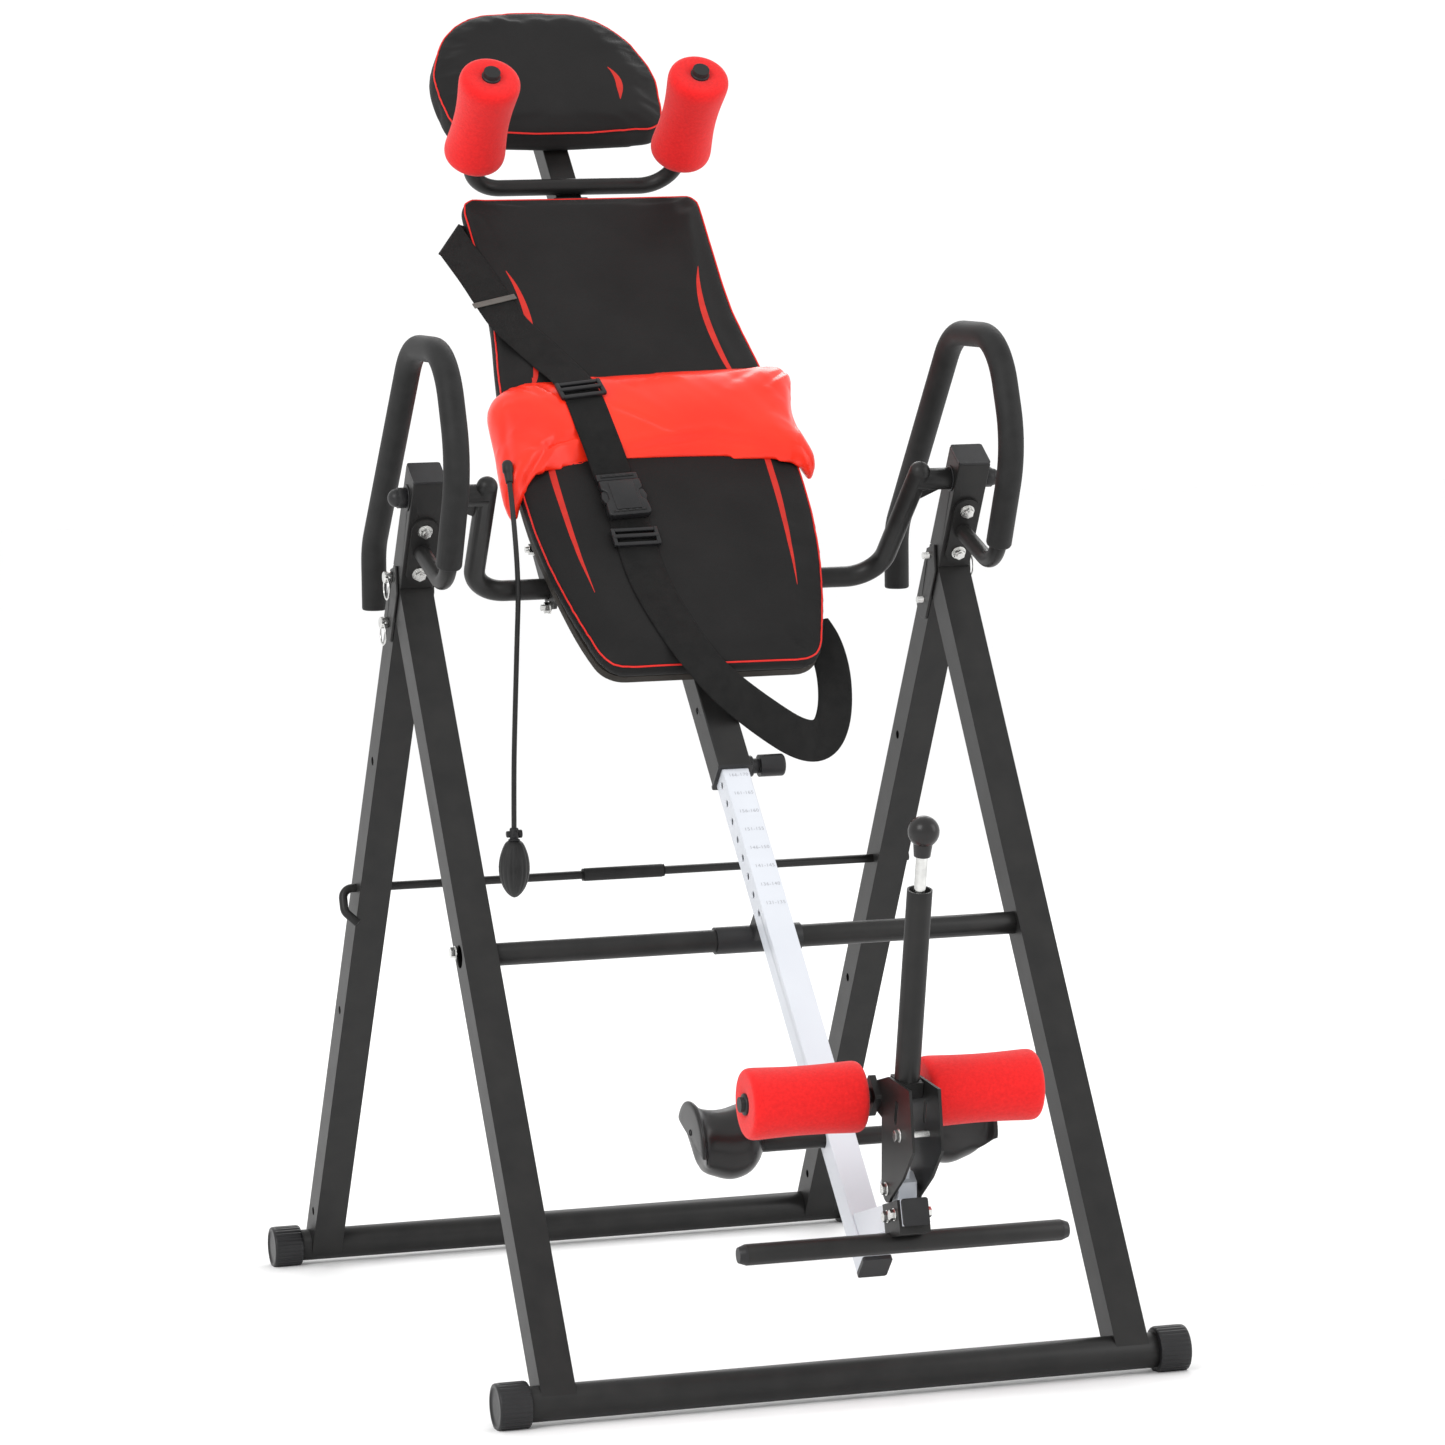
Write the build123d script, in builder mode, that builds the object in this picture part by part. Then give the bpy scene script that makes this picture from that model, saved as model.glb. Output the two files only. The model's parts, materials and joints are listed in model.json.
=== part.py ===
from build123d import *

import os
from math import atan2, cos, degrees, pi, radians, sin, tan

# Folding inversion table. Millimetres, +Z up, X along the table's pivot, the ankle clamp towards -Y.
#
# The A-frame is square tube on two round floor bars. The bed (main tube, pads, strap, sliding boom and
# ankle clamp) turns on two short axles in the heads of the A-frame. Bed parts are drawn in bed
# coordinates: S runs up the bed, T stands square to it on the user's side, and both are zero on the axle.

# ---------------------------------------------------------------- driving dimensions, frame
HALF_WIDTH = 382.0
LEG_X = 318.5
LEG = 38.0
LEG_WALL = 2.0
BAR_R = 19.0
BAR_WALL = 2.0
CAP_R = 24.0
CAP_LENGTH = 33.0
CAP_FLAT = 0.8
BAR_Z = CAP_R - CAP_FLAT
AXLE_Y = -0.5
AXLE_Z = 955.0
FRONT_BAR_Y = AXLE_Y - 446.7
REAR_TILT = 34.16
SEAM_Z = 852.0
HEAD_TOP = 31.0
NOTCH_TOP = 104.0
CROSSBAR_Y = AXLE_Y - 173.2
CROSSBAR_Z = 462.0
CROSSBAR_R = 12.5
SLEEVE_R = 15.0
SLEEVE_HALF = 49.0
PLATE = 3.0
LOCK_PIN_AT = (115.0, 9.0)
HINGE_PIN_AT = (171.6, 0.0)
PIN_R = 4.0
RUNNING = 0.05
ROD_HOLES = (370.0, 558.0, 746.0, 1070.0)
ROD_AT = ROD_HOLES[1]
ROD_R = 5.0

# ---------------------------------------------------------------- driving dimensions, bed
BED_X = 6.0
MAIN_T = -164.0
MAIN = 38.0
MAIN_WALL = 2.0
MAIN_LOW = -286.0
MAIN_TOP = 606.0
BOOM = 31.0
BOOM_WALL = 2.0
BOOM_LOW = -945.0
BOOM_TOP = -100.0
HOLE_PITCH = 25.8
HOLE_FIRST = -299.5
BOOM_HOLES = 8
PIN_S = HOLE_FIRST + HOLE_PITCH
POST = 32.0
ARM_X = 243.0
ARM_TOP_X = 254.0
ARM_R = 12.0
HUB_R = 12.5
AXLE_R = 8.0
BUSH_R = 11.0
PAD_FACE = -111.0
BOARD_FACE = -135.0
FOAM_R = 40.0
FOAM_LENGTH = 136.0
SHOULDER_R = 36.0

# The bed's angle from the upright when the boom lies on the rest pad of the crossbar's sleeve.
LEAN = radians(43.4392)
REST_GAP = 0.1
REST_PAD_WIDTH = 30.0
REST_PAD_LENGTH = 22.0

UP_BED = Vector(0, sin(LEAN), cos(LEAN))
OUT_BED = Vector(0, -cos(LEAN), sin(LEAN))
AXLE = Vector(BED_X, AXLE_Y, AXLE_Z)

_tilt = radians(REAR_TILT)
DOWN_LEG = Vector(0, sin(_tilt), -cos(_tilt))
BACK_LEG = Vector(0, cos(_tilt), sin(_tilt))
REAR_BAR_Y = AXLE_Y + (AXLE_Z - BAR_Z) * tan(_tilt)
REAR_LENGTH = (AXLE_Z - BAR_Z) / cos(_tilt)
SEAM_Y = AXLE_Y + (AXLE_Z - SEAM_Z) * tan(_tilt)
FRONT_TILT = atan2(SEAM_Y - FRONT_BAR_Y, SEAM_Z - BAR_Z)

os.makedirs("parts", exist_ok=True)


# ---------------------------------------------------------------- planes and helpers
def bed_side(x=0.0):
    """Side plane of the bed: local x is S, local y is T. x is measured from the bed's middle."""
    return Plane(origin=AXLE + Vector(x, 0, 0), x_dir=UP_BED, z_dir=(1, 0, 0))


def bed_face(t):
    """Plane parallel to the pad: local x is X, local y is S, the normal points to the user."""
    return Plane(origin=AXLE + OUT_BED * t, x_dir=(1, 0, 0), z_dir=OUT_BED)


def bed_cross(s):
    """Plane across the bed: local x is X, local y is -T, the normal points up the bed."""
    return Plane(origin=AXLE + UP_BED * s, x_dir=(1, 0, 0), z_dir=UP_BED)


def leg_side(x):
    """Side plane of a rear leg and its head: local x runs down the leg, local y towards the rear."""
    return Plane(origin=(x, AXLE_Y, AXLE_Z), x_dir=DOWN_LEG, z_dir=(1, 0, 0))


def bed_point(x, s, t):
    return AXLE + Vector(x, 0, 0) + UP_BED * s + OUT_BED * t


def leg_point(x, a, q):
    return Vector(x, AXLE_Y, AXLE_Z) + DOWN_LEG * a + BACK_LEG * q


def across(point):
    """Location at a point, with its Z axis along X."""
    return Location(Plane(origin=point, x_dir=(0, 1, 0), z_dir=(1, 0, 0)))


def save(piece, name):
    piece.part.label = name
    export_step(piece.part, f"parts/{name}.step")


def x_rod(start_x, end_x, point, radius, bore=0.0):
    """A round bar or tube along X through a point, as a finished piece."""
    with BuildPart() as rod:
        with BuildSketch(Plane(origin=(start_x, point.Y, point.Z), x_dir=(0, 1, 0), z_dir=(1, 0, 0))):
            Circle(radius)
            if bore:
                Circle(bore, mode=Mode.SUBTRACT)
        extrude(amount=end_x - start_x)
    return rod


# ---------------------------------------------------------------- A-frame
def base_tube(name, y):
    point = Vector(0, y, BAR_Z)
    end = HALF_WIDTH - 6
    save(x_rod(-end, end, point, BAR_R, BAR_R - BAR_WALL), name)


def base_cap(side, y):
    """Ribbed foot cap over the end of a floor bar, with a narrow flat that it stands on."""
    ribs = 16
    with BuildPart() as cap:
        start = Plane(origin=(side * (HALF_WIDTH - CAP_LENGTH), y, BAR_Z), x_dir=(0, 1, 0), z_dir=(side, 0, 0))
        with BuildSketch(start):
            Circle(CAP_R)
        extrude(amount=CAP_LENGTH)
        chamfer(cap.faces().sort_by(Axis.X)[-1 if side > 0 else 0].edges(), 1.5)
        with BuildSketch(start):
            with PolarLocations(CAP_R + 0.6, ribs, start_angle=360 / ribs / 2):
                Circle(1.6)
        extrude(amount=CAP_LENGTH - 3, mode=Mode.SUBTRACT)
        with BuildSketch(start):
            Circle(BAR_R)
        extrude(amount=CAP_LENGTH - 6, mode=Mode.SUBTRACT)
        split(bisect_by=Plane.XY, keep=Keep.TOP)
    return cap


def base_caps(name, y):
    with BuildPart() as caps:
        for side in (-1, 1):
            add(base_cap(side, y).part)
    save(caps, name)


def front_leg(side, name):
    """Square tube from the front floor bar to the head, mitred level at the seam."""
    x = side * LEG_X
    foot = Vector(x, FRONT_BAR_Y, BAR_Z)
    up = Vector(0, sin(FRONT_TILT), cos(FRONT_TILT))
    length = (SEAM_Z - BAR_Z) / cos(FRONT_TILT)
    with BuildPart() as leg:
        with BuildSketch(Plane(origin=foot, x_dir=(1, 0, 0), z_dir=up)):
            Rectangle(LEG, LEG)
            Rectangle(LEG - 2 * LEG_WALL, LEG - 2 * LEG_WALL, mode=Mode.SUBTRACT)
        extrude(amount=length + LEG)
        split(bisect_by=Plane.XY.offset(SEAM_Z), keep=Keep.BOTTOM)
        # The back of the top is cut away, where the rear leg's end stands when open.
        with BuildSketch(leg_side(x)):
            with Locations((NOTCH_TOP + 21, LEG / 2 - 0.5)):
                Rectangle(46, LEG)
        extrude(amount=LEG, both=True, mode=Mode.SUBTRACT)
        with Locations(across(Vector(x, FRONT_BAR_Y, BAR_Z))):
            Cylinder(BAR_R, 3 * LEG, mode=Mode.SUBTRACT)
        with Locations(across(Vector(x, CROSSBAR_Y, CROSSBAR_Z))):
            Cylinder(CROSSBAR_R, LEG + 1, mode=Mode.SUBTRACT)
    save(leg, name)


def head(side, name):
    """Short upright tube over the mitre, in line with the rear leg: it carries axle and handle."""
    x = side * LEG_X
    half = LEG / 2
    tilt = tan(_tilt)
    drop = (AXLE_Z - SEAM_Z) / cos(_tilt)
    with BuildPart() as tube:
        with BuildSketch(leg_side(x)):
            with BuildLine():
                Polyline(
                    (-HEAD_TOP, -half),
                    (-HEAD_TOP, half),
                    (NOTCH_TOP, half),
                    (NOTCH_TOP, -0.5),
                    (drop - 0.5 * tilt, -0.5),
                    (drop - half * tilt, -half),
                    close=True,
                )
            make_face()
        extrude(amount=half, both=True)
        with BuildSketch(leg_side(x)):
            with Locations((50, 0)):
                Rectangle(200, LEG - 5)
        extrude(amount=half - 2.5, both=True, mode=Mode.SUBTRACT)
        with Locations(across(leg_point(x, 0, 0))):
            Cylinder(BUSH_R, LEG + 1, mode=Mode.SUBTRACT)
        with Locations(*[Location(Plane(leg_point(x, a, 0), z_dir=BACK_LEG)) for a in HANDLE_BOLTS]):
            Cylinder(BOLT_R, LEG + 1, mode=Mode.SUBTRACT)
    save(tube, name)


def end_caps():
    """Ribbed caps on the front floor bar and the plugs in the tops of the two heads."""
    with BuildPart() as caps:
        for side in (-1, 1):
            add(base_cap(side, FRONT_BAR_Y).part)
            plane = Plane(origin=leg_point(side * LEG_X, -HEAD_TOP, 0), x_dir=(1, 0, 0), z_dir=-DOWN_LEG)
            with BuildSketch(plane):
                RectangleRounded(LEG, LEG, 3)
            extrude(amount=2.5)
            with BuildSketch(plane):
                Rectangle(LEG - 5, LEG - 5)
            extrude(amount=-12)
    save(caps, "front_end_caps")


def hinge_plates():
    """Two gusset plates on each head, which the rear leg's end turns between."""
    with BuildPart() as plates:
        for side in (-1, 1):
            for face in (-1, 1):
                start = side * LEG_X + face * LEG / 2
                with BuildSketch(leg_side(start)):
                    with BuildLine():
                        Polyline((184, 19), (112, 19), (93, 0), (118, -19), (184, -19))
                        ThreePointArc((184, -19), (194, 0), (184, 19))
                    make_face()
                    with Locations(LOCK_PIN_AT, HINGE_PIN_AT):
                        Circle(PIN_R + RUNNING, mode=Mode.SUBTRACT)
                extrude(amount=face * PLATE)
    save(plates, "hinge_plates")


def rear_leg(side, name):
    """Square tube from the hinge to the rear floor bar. Its end is trimmed to the front leg's back."""
    x = side * LEG_X
    width = LEG - 0.6
    half = LEG / 2
    with BuildPart() as leg:
        with BuildSketch(leg_side(x)):
            Polygon(
                (106, 0.2), (147, 0.2), (158, -half), (REAR_LENGTH, -half), (REAR_LENGTH, half), (106, half),
                align=None,
            )
        extrude(amount=width / 2, both=True)
        with BuildSketch(leg_side(x)):
            Polygon(
                (108, 2.2), (148, 2.2), (159, 2 - half), (REAR_LENGTH + 9, 2 - half),
                (REAR_LENGTH + 9, half - 2), (108, half - 2),
                align=None,
            )
        extrude(amount=width / 2 - LEG_WALL, both=True, mode=Mode.SUBTRACT)
        with BuildSketch(leg_side(x - LEG)):
            with Locations(HINGE_PIN_AT):
                Circle(PIN_R + RUNNING)
            with Locations((LOCK_PIN_AT[0], LOCK_PIN_AT[1] - 7)):
                Rectangle(10.2, 14)
            with Locations(LOCK_PIN_AT):
                Circle(5.1)
            with Locations(*[(a, 0) for a in ROD_HOLES]):
                Circle(ROD_R + RUNNING)
        extrude(amount=2 * LEG, mode=Mode.SUBTRACT)
        with Locations(across(Vector(x, REAR_BAR_Y, BAR_Z))):
            Cylinder(BAR_R, 3 * LEG, mode=Mode.SUBTRACT)
    save(leg, name)


def ring_pin(side, at):
    """Pull pin through both plates: a shaft with a small knob inside and a ringed head outside."""
    plane_x = side * (LEG_X + LEG / 2 + PLATE)
    inner_x = side * (LEG_X - LEG / 2 - PLATE)
    centre = leg_point(0, *at)
    out = Vector(side, 0, 0)
    with BuildPart() as pin:
        with BuildSketch(Plane(Vector(inner_x, centre.Y, centre.Z) - out * 7, x_dir=(0, 1, 0), z_dir=out)):
            Circle(PIN_R)
        extrude(amount=LEG + 2 * PLATE + 9)
        with BuildSketch(Plane(Vector(plane_x, centre.Y, centre.Z) + out * 0.5, x_dir=(0, 1, 0), z_dir=out)):
            Circle(6.5)
        extrude(amount=9)
        chamfer(pin.faces().sort_by(Axis.X)[-1 if side > 0 else 0].edges(), 1.0)
        with Locations(Location((plane_x + side * 6, centre.Y, centre.Z), (90, 0, 0))):
            Cylinder(1.3, 20, mode=Mode.SUBTRACT)
    # The ring hangs through the cross hole of the head.
    with BuildPart() as ring:
        with Locations(Location((plane_x + side * 6, centre.Y, centre.Z - 12.5), (0, 90, 0))):
            Torus(12.5, 1.0)
    with BuildPart() as both:
        add(pin.part)
        add(ring.part)
    return both


def hinge_pins():
    with BuildPart() as pins:
        for side in (-1, 1):
            add(ring_pin(side, HINGE_PIN_AT).part)
    save(pins, "hinge_pins")


def crossbar():
    """Front cross tube between the front legs, with the rest sleeve that the boom lies on."""
    point = Vector(0, CROSSBAR_Y, CROSSBAR_Z)
    end = LEG_X - LEG / 2 + LEG_WALL
    save(x_rod(-end, end, point, CROSSBAR_R, CROSSBAR_R - 2), "crossbar")
    from_axle = point - AXLE
    bar_t = from_axle.Y * OUT_BED.Y + from_axle.Z * OUT_BED.Z
    pad_height = MAIN_T - BOOM / 2 - REST_GAP - bar_t
    with BuildPart() as sleeve:
        add(x_rod(-SLEEVE_HALF, SLEEVE_HALF, point, SLEEVE_R, CROSSBAR_R - 1).part)
        with BuildSketch(Plane(origin=Vector(BED_X, point.Y, point.Z), x_dir=(1, 0, 0), z_dir=OUT_BED)):
            RectangleRounded(REST_PAD_WIDTH, REST_PAD_LENGTH, 3)
        extrude(amount=pad_height)
        with Locations(across(point)):
            Cylinder(CROSSBAR_R, 2 * SLEEVE_HALF + 2, mode=Mode.SUBTRACT)
    save(sleeve, "crossbar_sleeve")


BOLT_R = 4.0
HANDLE_BOLTS = (30.0, 88.0)
HANDLE_R = 9.5
GRIP_R = 14.5
FLANGE = 4.0
HANDLE_ROOT = 60.0


def hex_bolt(centre, direction, grip, radius, head_out=5.0):
    """Bolt along a direction: a shaft of the grip's length, a hexagon head behind and a nut in front."""
    with BuildPart() as bolt:
        with BuildSketch(Plane(centre - direction * (grip / 2 + head_out), z_dir=direction)):
            RegularPolygon(radius * 1.65, 6)
        extrude(amount=head_out)
        with BuildSketch(Plane(centre - direction * (grip / 2), z_dir=direction)):
            Circle(radius)
        extrude(amount=grip + head_out + 3.5)
        with BuildSketch(Plane(centre + direction * (grip / 2), z_dir=direction)):
            Circle(radius * 2.1)
        extrude(amount=1.6)
        with BuildSketch(Plane(centre + direction * (grip / 2 + 1.6), z_dir=direction)):
            RegularPolygon(radius * 1.65, 6)
        extrude(amount=head_out)
    return bolt


def frame_bolts():
    """Two bolts through each head and handle flange, and one into each end of the cross tube."""
    with BuildPart() as bolts:
        for side in (-1, 1):
            for a in HANDLE_BOLTS:
                centre = leg_point(side * LEG_X, a, -FLANGE / 2)
                add(hex_bolt(centre, -BACK_LEG, LEG + FLANGE, BOLT_R).part)
            outer = Vector(side * (LEG_X + LEG / 2), CROSSBAR_Y + 15, CROSSBAR_Z + 3)
            with BuildSketch(Plane(outer, z_dir=(side, 0, 0))):
                Circle(7.5)
            extrude(amount=1.5)
            with BuildSketch(Plane(outer + Vector(side * 1.5, 0, 0), z_dir=(side, 0, 0))):
                RegularPolygon(6.2, 6)
            extrude(amount=5)
    save(bolts, "frame_bolts")


HANDLE_CORNERS = (
    (17.0, -60.9),
    (-90.1, -100.8),
    (-162.0, 36.0),
    (-120.0, 160.0),
    (30.0, 166.0),
    (247.0, -63.0),
    (251.0, -135.0),
)
HANDLE_RADII = (40.0, 110.0, 80.0, 80.0, 50.0)
GRIP_START = (-104.5, -73.5)


def handle(side, suffix):
    """Looped side handle: bare tube out of the head, then a foam grip over the loop."""
    x = side * LEG_X
    root = leg_point(0, HANDLE_ROOT, -LEG / 2)
    points = [Vector(x, root.Y, root.Z)]
    points += [Vector(x, AXLE_Y + y, AXLE_Z + z) for y, z in HANDLE_CORNERS[1:]]
    with BuildPart() as tube:
        with BuildLine() as path:
            FilletPolyline(*points, radius=list(HANDLE_RADII))
        with BuildSketch(Plane(path.line @ 0, z_dir=path.line % 0)):
            Circle(HANDLE_R)
            Circle(HANDLE_R - 1.5, mode=Mode.SUBTRACT)
        sweep()
        with BuildSketch(Plane(leg_point(x, HANDLE_ROOT - 1, -LEG / 2), x_dir=(1, 0, 0), z_dir=-BACK_LEG)):
            SlotCenterToCenter(58, 30, rotation=90)
            with Locations((0, 29), (0, -29)):
                Circle(BOLT_R, mode=Mode.SUBTRACT)
        extrude(amount=FLANGE)
        with BuildSketch(leg_side(x)):
            with Locations((HANDLE_ROOT, 0)):
                Rectangle(90, LEG)
        extrude(amount=LEG / 2, both=True, mode=Mode.SUBTRACT)
    save(tube, f"handle_{suffix}")


def handle_grip(side):
    """Foam grip over the loop of a side handle."""
    x = side * LEG_X
    points = [Vector(x, AXLE_Y + y, AXLE_Z + z) for y, z in HANDLE_CORNERS[1:]]
    grip_points = [Vector(x, AXLE_Y + GRIP_START[0], AXLE_Z + GRIP_START[1])] + points[1:]
    with BuildPart() as grip:
        with BuildLine() as path:
            FilletPolyline(*grip_points, radius=list(HANDLE_RADII[1:]))
        with BuildSketch(Plane(path.line @ 0, z_dir=path.line % 0)):
            Circle(GRIP_R)
            Circle(HANDLE_R, mode=Mode.SUBTRACT)
        sweep()
    return grip


def handle_grips():
    with BuildPart() as grips:
        for side in (-1, 1):
            add(handle_grip(side).part)
    save(grips, "handle_grips")


def pivot_bushes():
    """Flanged bearing bush through each head."""
    with BuildPart() as bushes:
        for side in (-1, 1):
            for start, end, outer in ((-20.5, -19, 15.0), (-19, 19, BUSH_R), (19, 20.5, 15.0)):
                plane = Plane(leg_point(side * LEG_X + start, 0, 0), x_dir=(0, 1, 0), z_dir=(1, 0, 0))
                with BuildSketch(plane):
                    Circle(outer)
                    Circle(AXLE_R + RUNNING, mode=Mode.SUBTRACT)
                extrude(amount=end - start)
    save(bushes, "pivot_bushes")


def angle_rod():
    """Removable rod behind the bed: it stops the table at the angle of the chosen pair of holes."""
    centre = leg_point(0, ROD_AT, 0)
    left = -(LEG_X + LEG / 2 + 16)
    right = LEG_X + LEG / 2 + 8
    corner = Vector(left, centre.Y, centre.Z)
    with BuildPart() as rod:
        with BuildLine() as path:
            FilletPolyline(
                Vector(right, centre.Y, centre.Z),
                corner,
                corner + Vector(0, -9, -26),
                corner + Vector(14, -15, -40),
                radius=[12, 12],
            )
        with BuildSketch(Plane(path.line @ 0, z_dir=path.line % 0)):
            Circle(ROD_R)
        sweep()
    save(rod, "angle_rod")
    save(x_rod(-62, 38, centre, 7.7, ROD_R), "angle_rod_sleeve")


# ---------------------------------------------------------------- bed
def pivot_arm(side, suffix):
    """Bent tube from the main tube out past the pad and up to the axle, with its hub and gusset."""
    hub_start = ARM_TOP_X - 2
    hub_end = LEG_X - LEG / 2 - 1.8 - side * BED_X
    with BuildPart() as arm:
        with BuildLine(bed_cross(0)) as path:
            FilletPolyline(
                (side * MAIN / 2, -MAIN_T), (side * ARM_X, -MAIN_T), (side * ARM_TOP_X, -13), radius=42
            )
        with BuildSketch(Plane(path.line @ 0, z_dir=path.line % 0)):
            Circle(ARM_R)
        sweep()
        with Locations(Location(bed_point(side * ARM_TOP_X, 0, 13))):
            Sphere(ARM_R)
        with BuildSketch(Plane(bed_point(side * hub_start, 0, 0), x_dir=UP_BED, z_dir=(side, 0, 0))):
            Circle(HUB_R)
        extrude(amount=hub_end - hub_start)
        with BuildSketch(Plane(bed_point(side * (ARM_TOP_X - 4), 0, 0), x_dir=(side, 0, 0), z_dir=UP_BED)):
            Polygon((4, side * 38), (4, 0), (hub_end - hub_start + 1, 0), (hub_end - hub_start + 1, side * 10),
                    align=None)
        extrude(amount=2.5, both=True)
        end_plane = Plane(bed_point(side * hub_end, 0, 0), x_dir=UP_BED, z_dir=(-side, 0, 0))
        with BuildSketch(end_plane):
            Circle(AXLE_R)
        extrude(amount=14, mode=Mode.SUBTRACT)
        with BuildSketch(end_plane.offset(-1)):
            Circle(HUB_R + 2)
        extrude(amount=-20, mode=Mode.SUBTRACT)
    save(arm, f"pivot_arm_{suffix}")


def pivot_axles():
    """Axle pin in each hub, through the head's bush, and the domed cap over its outer end."""
    pins = []
    caps = []
    for side in (-1, 1):
        inner = side * (LEG_X - LEG / 2 - 1.8 - 14)
        pins.append((min(inner, side * 350.0), max(inner, side * 350.0)))
        caps.append(side)
    point = Vector(0, AXLE_Y, AXLE_Z)
    with BuildPart() as axles:
        for start, end in pins:
            add(x_rod(start, end, point, AXLE_R).part)
    save(axles, "pivot_axles")
    with BuildPart() as domes:
        for side in caps:
            profile = Plane(origin=(side * 339.6, AXLE_Y, AXLE_Z), x_dir=(0, 1, 0), z_dir=(0, 0, 1))
            with BuildSketch(Plane(profile.origin, x_dir=(side, 0, 0), z_dir=(0, 0, 1))):
                with BuildLine():
                    Polyline((10.4, 0), (19.5, 0))
                    ThreePointArc((19.5, 0), (16.5, side * 7.5), (9, side * 10))
                    Polyline((9, side * 10), (9, side * 11.5), (0, side * 11.5), (0, side * AXLE_R),
                             (10.4, side * AXLE_R), (10.4, 0))
                make_face()
            revolve(axis=Axis((0, AXLE_Y, AXLE_Z), (1, 0, 0)))
    save(domes, "axle_caps")


def square_on_bed(piece_low, piece_top, t, size, wall=0.0):
    """Square tube or bar along the bed, as a finished piece."""
    with BuildPart() as tube:
        with BuildSketch(bed_cross(piece_low)):
            with Locations((0, -t)):
                RectangleRounded(size, size, 1.5)
                if wall:
                    Rectangle(size - 2 * wall, size - 2 * wall, mode=Mode.SUBTRACT)
        extrude(amount=piece_top - piece_low)
    return tube


def main_tube():
    """Square spine of the bed, open at both ends: the boom slides in below, the head post above."""
    with BuildPart() as tube:
        add(square_on_bed(MAIN_LOW, MAIN_TOP, MAIN_T, MAIN, MAIN_WALL).part)
        with Locations(across(bed_point(MAIN / 2, PIN_S, MAIN_T))):
            Cylinder(4.3, 8, mode=Mode.SUBTRACT)
        with Locations(across(bed_point(-MAIN / 2, -190.5, MAIN_T))):
            Cylinder(3.6, 8, mode=Mode.SUBTRACT)
    save(tube, "main_tube")


def tube_collars():
    """Plastic lip and liner at the lower end of the main tube, and the clamp collar at the top."""
    with BuildPart() as collars:
        with BuildSketch(bed_cross(MAIN_LOW)):
            with Locations((0, -MAIN_T)):
                RectangleRounded(MAIN + 3, MAIN + 3, 3)
                Rectangle(BOOM + 0.6, BOOM + 0.6, mode=Mode.SUBTRACT)
        extrude(amount=-3)
        with BuildSketch(bed_cross(MAIN_LOW)):
            with Locations((0, -MAIN_T)):
                Rectangle(MAIN - 2 * MAIN_WALL, MAIN - 2 * MAIN_WALL)
                Rectangle(BOOM + 0.6, BOOM + 0.6, mode=Mode.SUBTRACT)
        extrude(amount=42)
        with Locations(across(bed_point(MAIN / 2, PIN_S, MAIN_T))):
            Cylinder(4.3, 10, mode=Mode.SUBTRACT)
        with BuildSketch(bed_cross(MAIN_TOP - 24)):
            with Locations((0, -MAIN_T)):
                RectangleRounded(MAIN + 6, MAIN + 6, 3)
                RectangleRounded(MAIN, MAIN, 1.5, mode=Mode.SUBTRACT)
        extrude(amount=24)
        for x in (-9, 9):
            with Locations(Location(Plane(bed_point(x, MAIN_TOP - 9, MAIN_T + MAIN / 2 + 4), z_dir=OUT_BED))):
                Cylinder(3, 3)
    save(collars, "main_tube_collars")


BRACKET_X = 150.0


def pad_brackets():
    """Under each side of the board: a plate welded on the arm, and the angle that carries the board."""
    with BuildPart() as brackets:
        for side in (-1, 1):
            with BuildSketch(bed_side(side * BRACKET_X)):
                with BuildLine():
                    Polyline((-34, -146), (88, -146), (88, -160))
                    Polyline((88, -160), (70, -182), (-16, -182), (-34, -160), (-34, -146))
                make_face()
                with Locations((0, MAIN_T)):
                    Circle(ARM_R, mode=Mode.SUBTRACT)
            extrude(amount=side * 4)
            with BuildSketch(bed_face(-149)):
                with Locations((side * (BRACKET_X - 14), 27)):
                    Rectangle(28, 122)
            extrude(amount=3)
    save(brackets, "pad_brackets")


def pad_bolts():
    """Nuts and bolt ends on the outside of the bracket plates."""
    with BuildPart() as bolts:
        for side in (-1, 1):
            for s in (66.0, -9.0 - 14):
                start = bed_point(side * (BRACKET_X + 4), s, -170)
                with BuildSketch(Plane(start, z_dir=(side, 0, 0))):
                    Circle(7.5)
                extrude(amount=1.5)
                with BuildSketch(Plane(start + Vector(side * 1.5, 0, 0), z_dir=(side, 0, 0))):
                    RegularPolygon(6.4, 6)
                extrude(amount=5.5)
                with BuildSketch(Plane(start + Vector(side * 7, 0, 0), z_dir=(side, 0, 0))):
                    Circle(3.6)
                extrude(amount=4)
    save(bolts, "pad_bolts")


PAD_HALF = (
    (150.0, 581.0),
    (149.5, 470.0),
    (149.0, 400.0),
    (158.0, 325.0),
    (169.0, 219.0),
    (172.0, 130.0),
    (169.0, 40.0),
    (157.0, -48.0),
    (144.0, -110.0),
    (126.0, -164.0),
)


def pad_outline(inset=0.0):
    """Outline of the back pad in the plane of the sketch: narrow shoulders, wide hips, tapered foot."""
    right = []
    for x, s in PAD_HALF:
        level = s - inset if s > 500 else s + inset if s < -150 else s
        right.append((x - inset, level))
    left = [(-x, s) for x, s in reversed(right)]
    with BuildSketch(mode=Mode.PRIVATE) as outline:
        with BuildLine():
            Line(left[-1], right[0])
            Spline(*right)
            Line(right[-1], left[0])
            Spline(*left)
        make_face()
        fillet(outline.vertices(), 34)
    return outline.sketch


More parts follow.
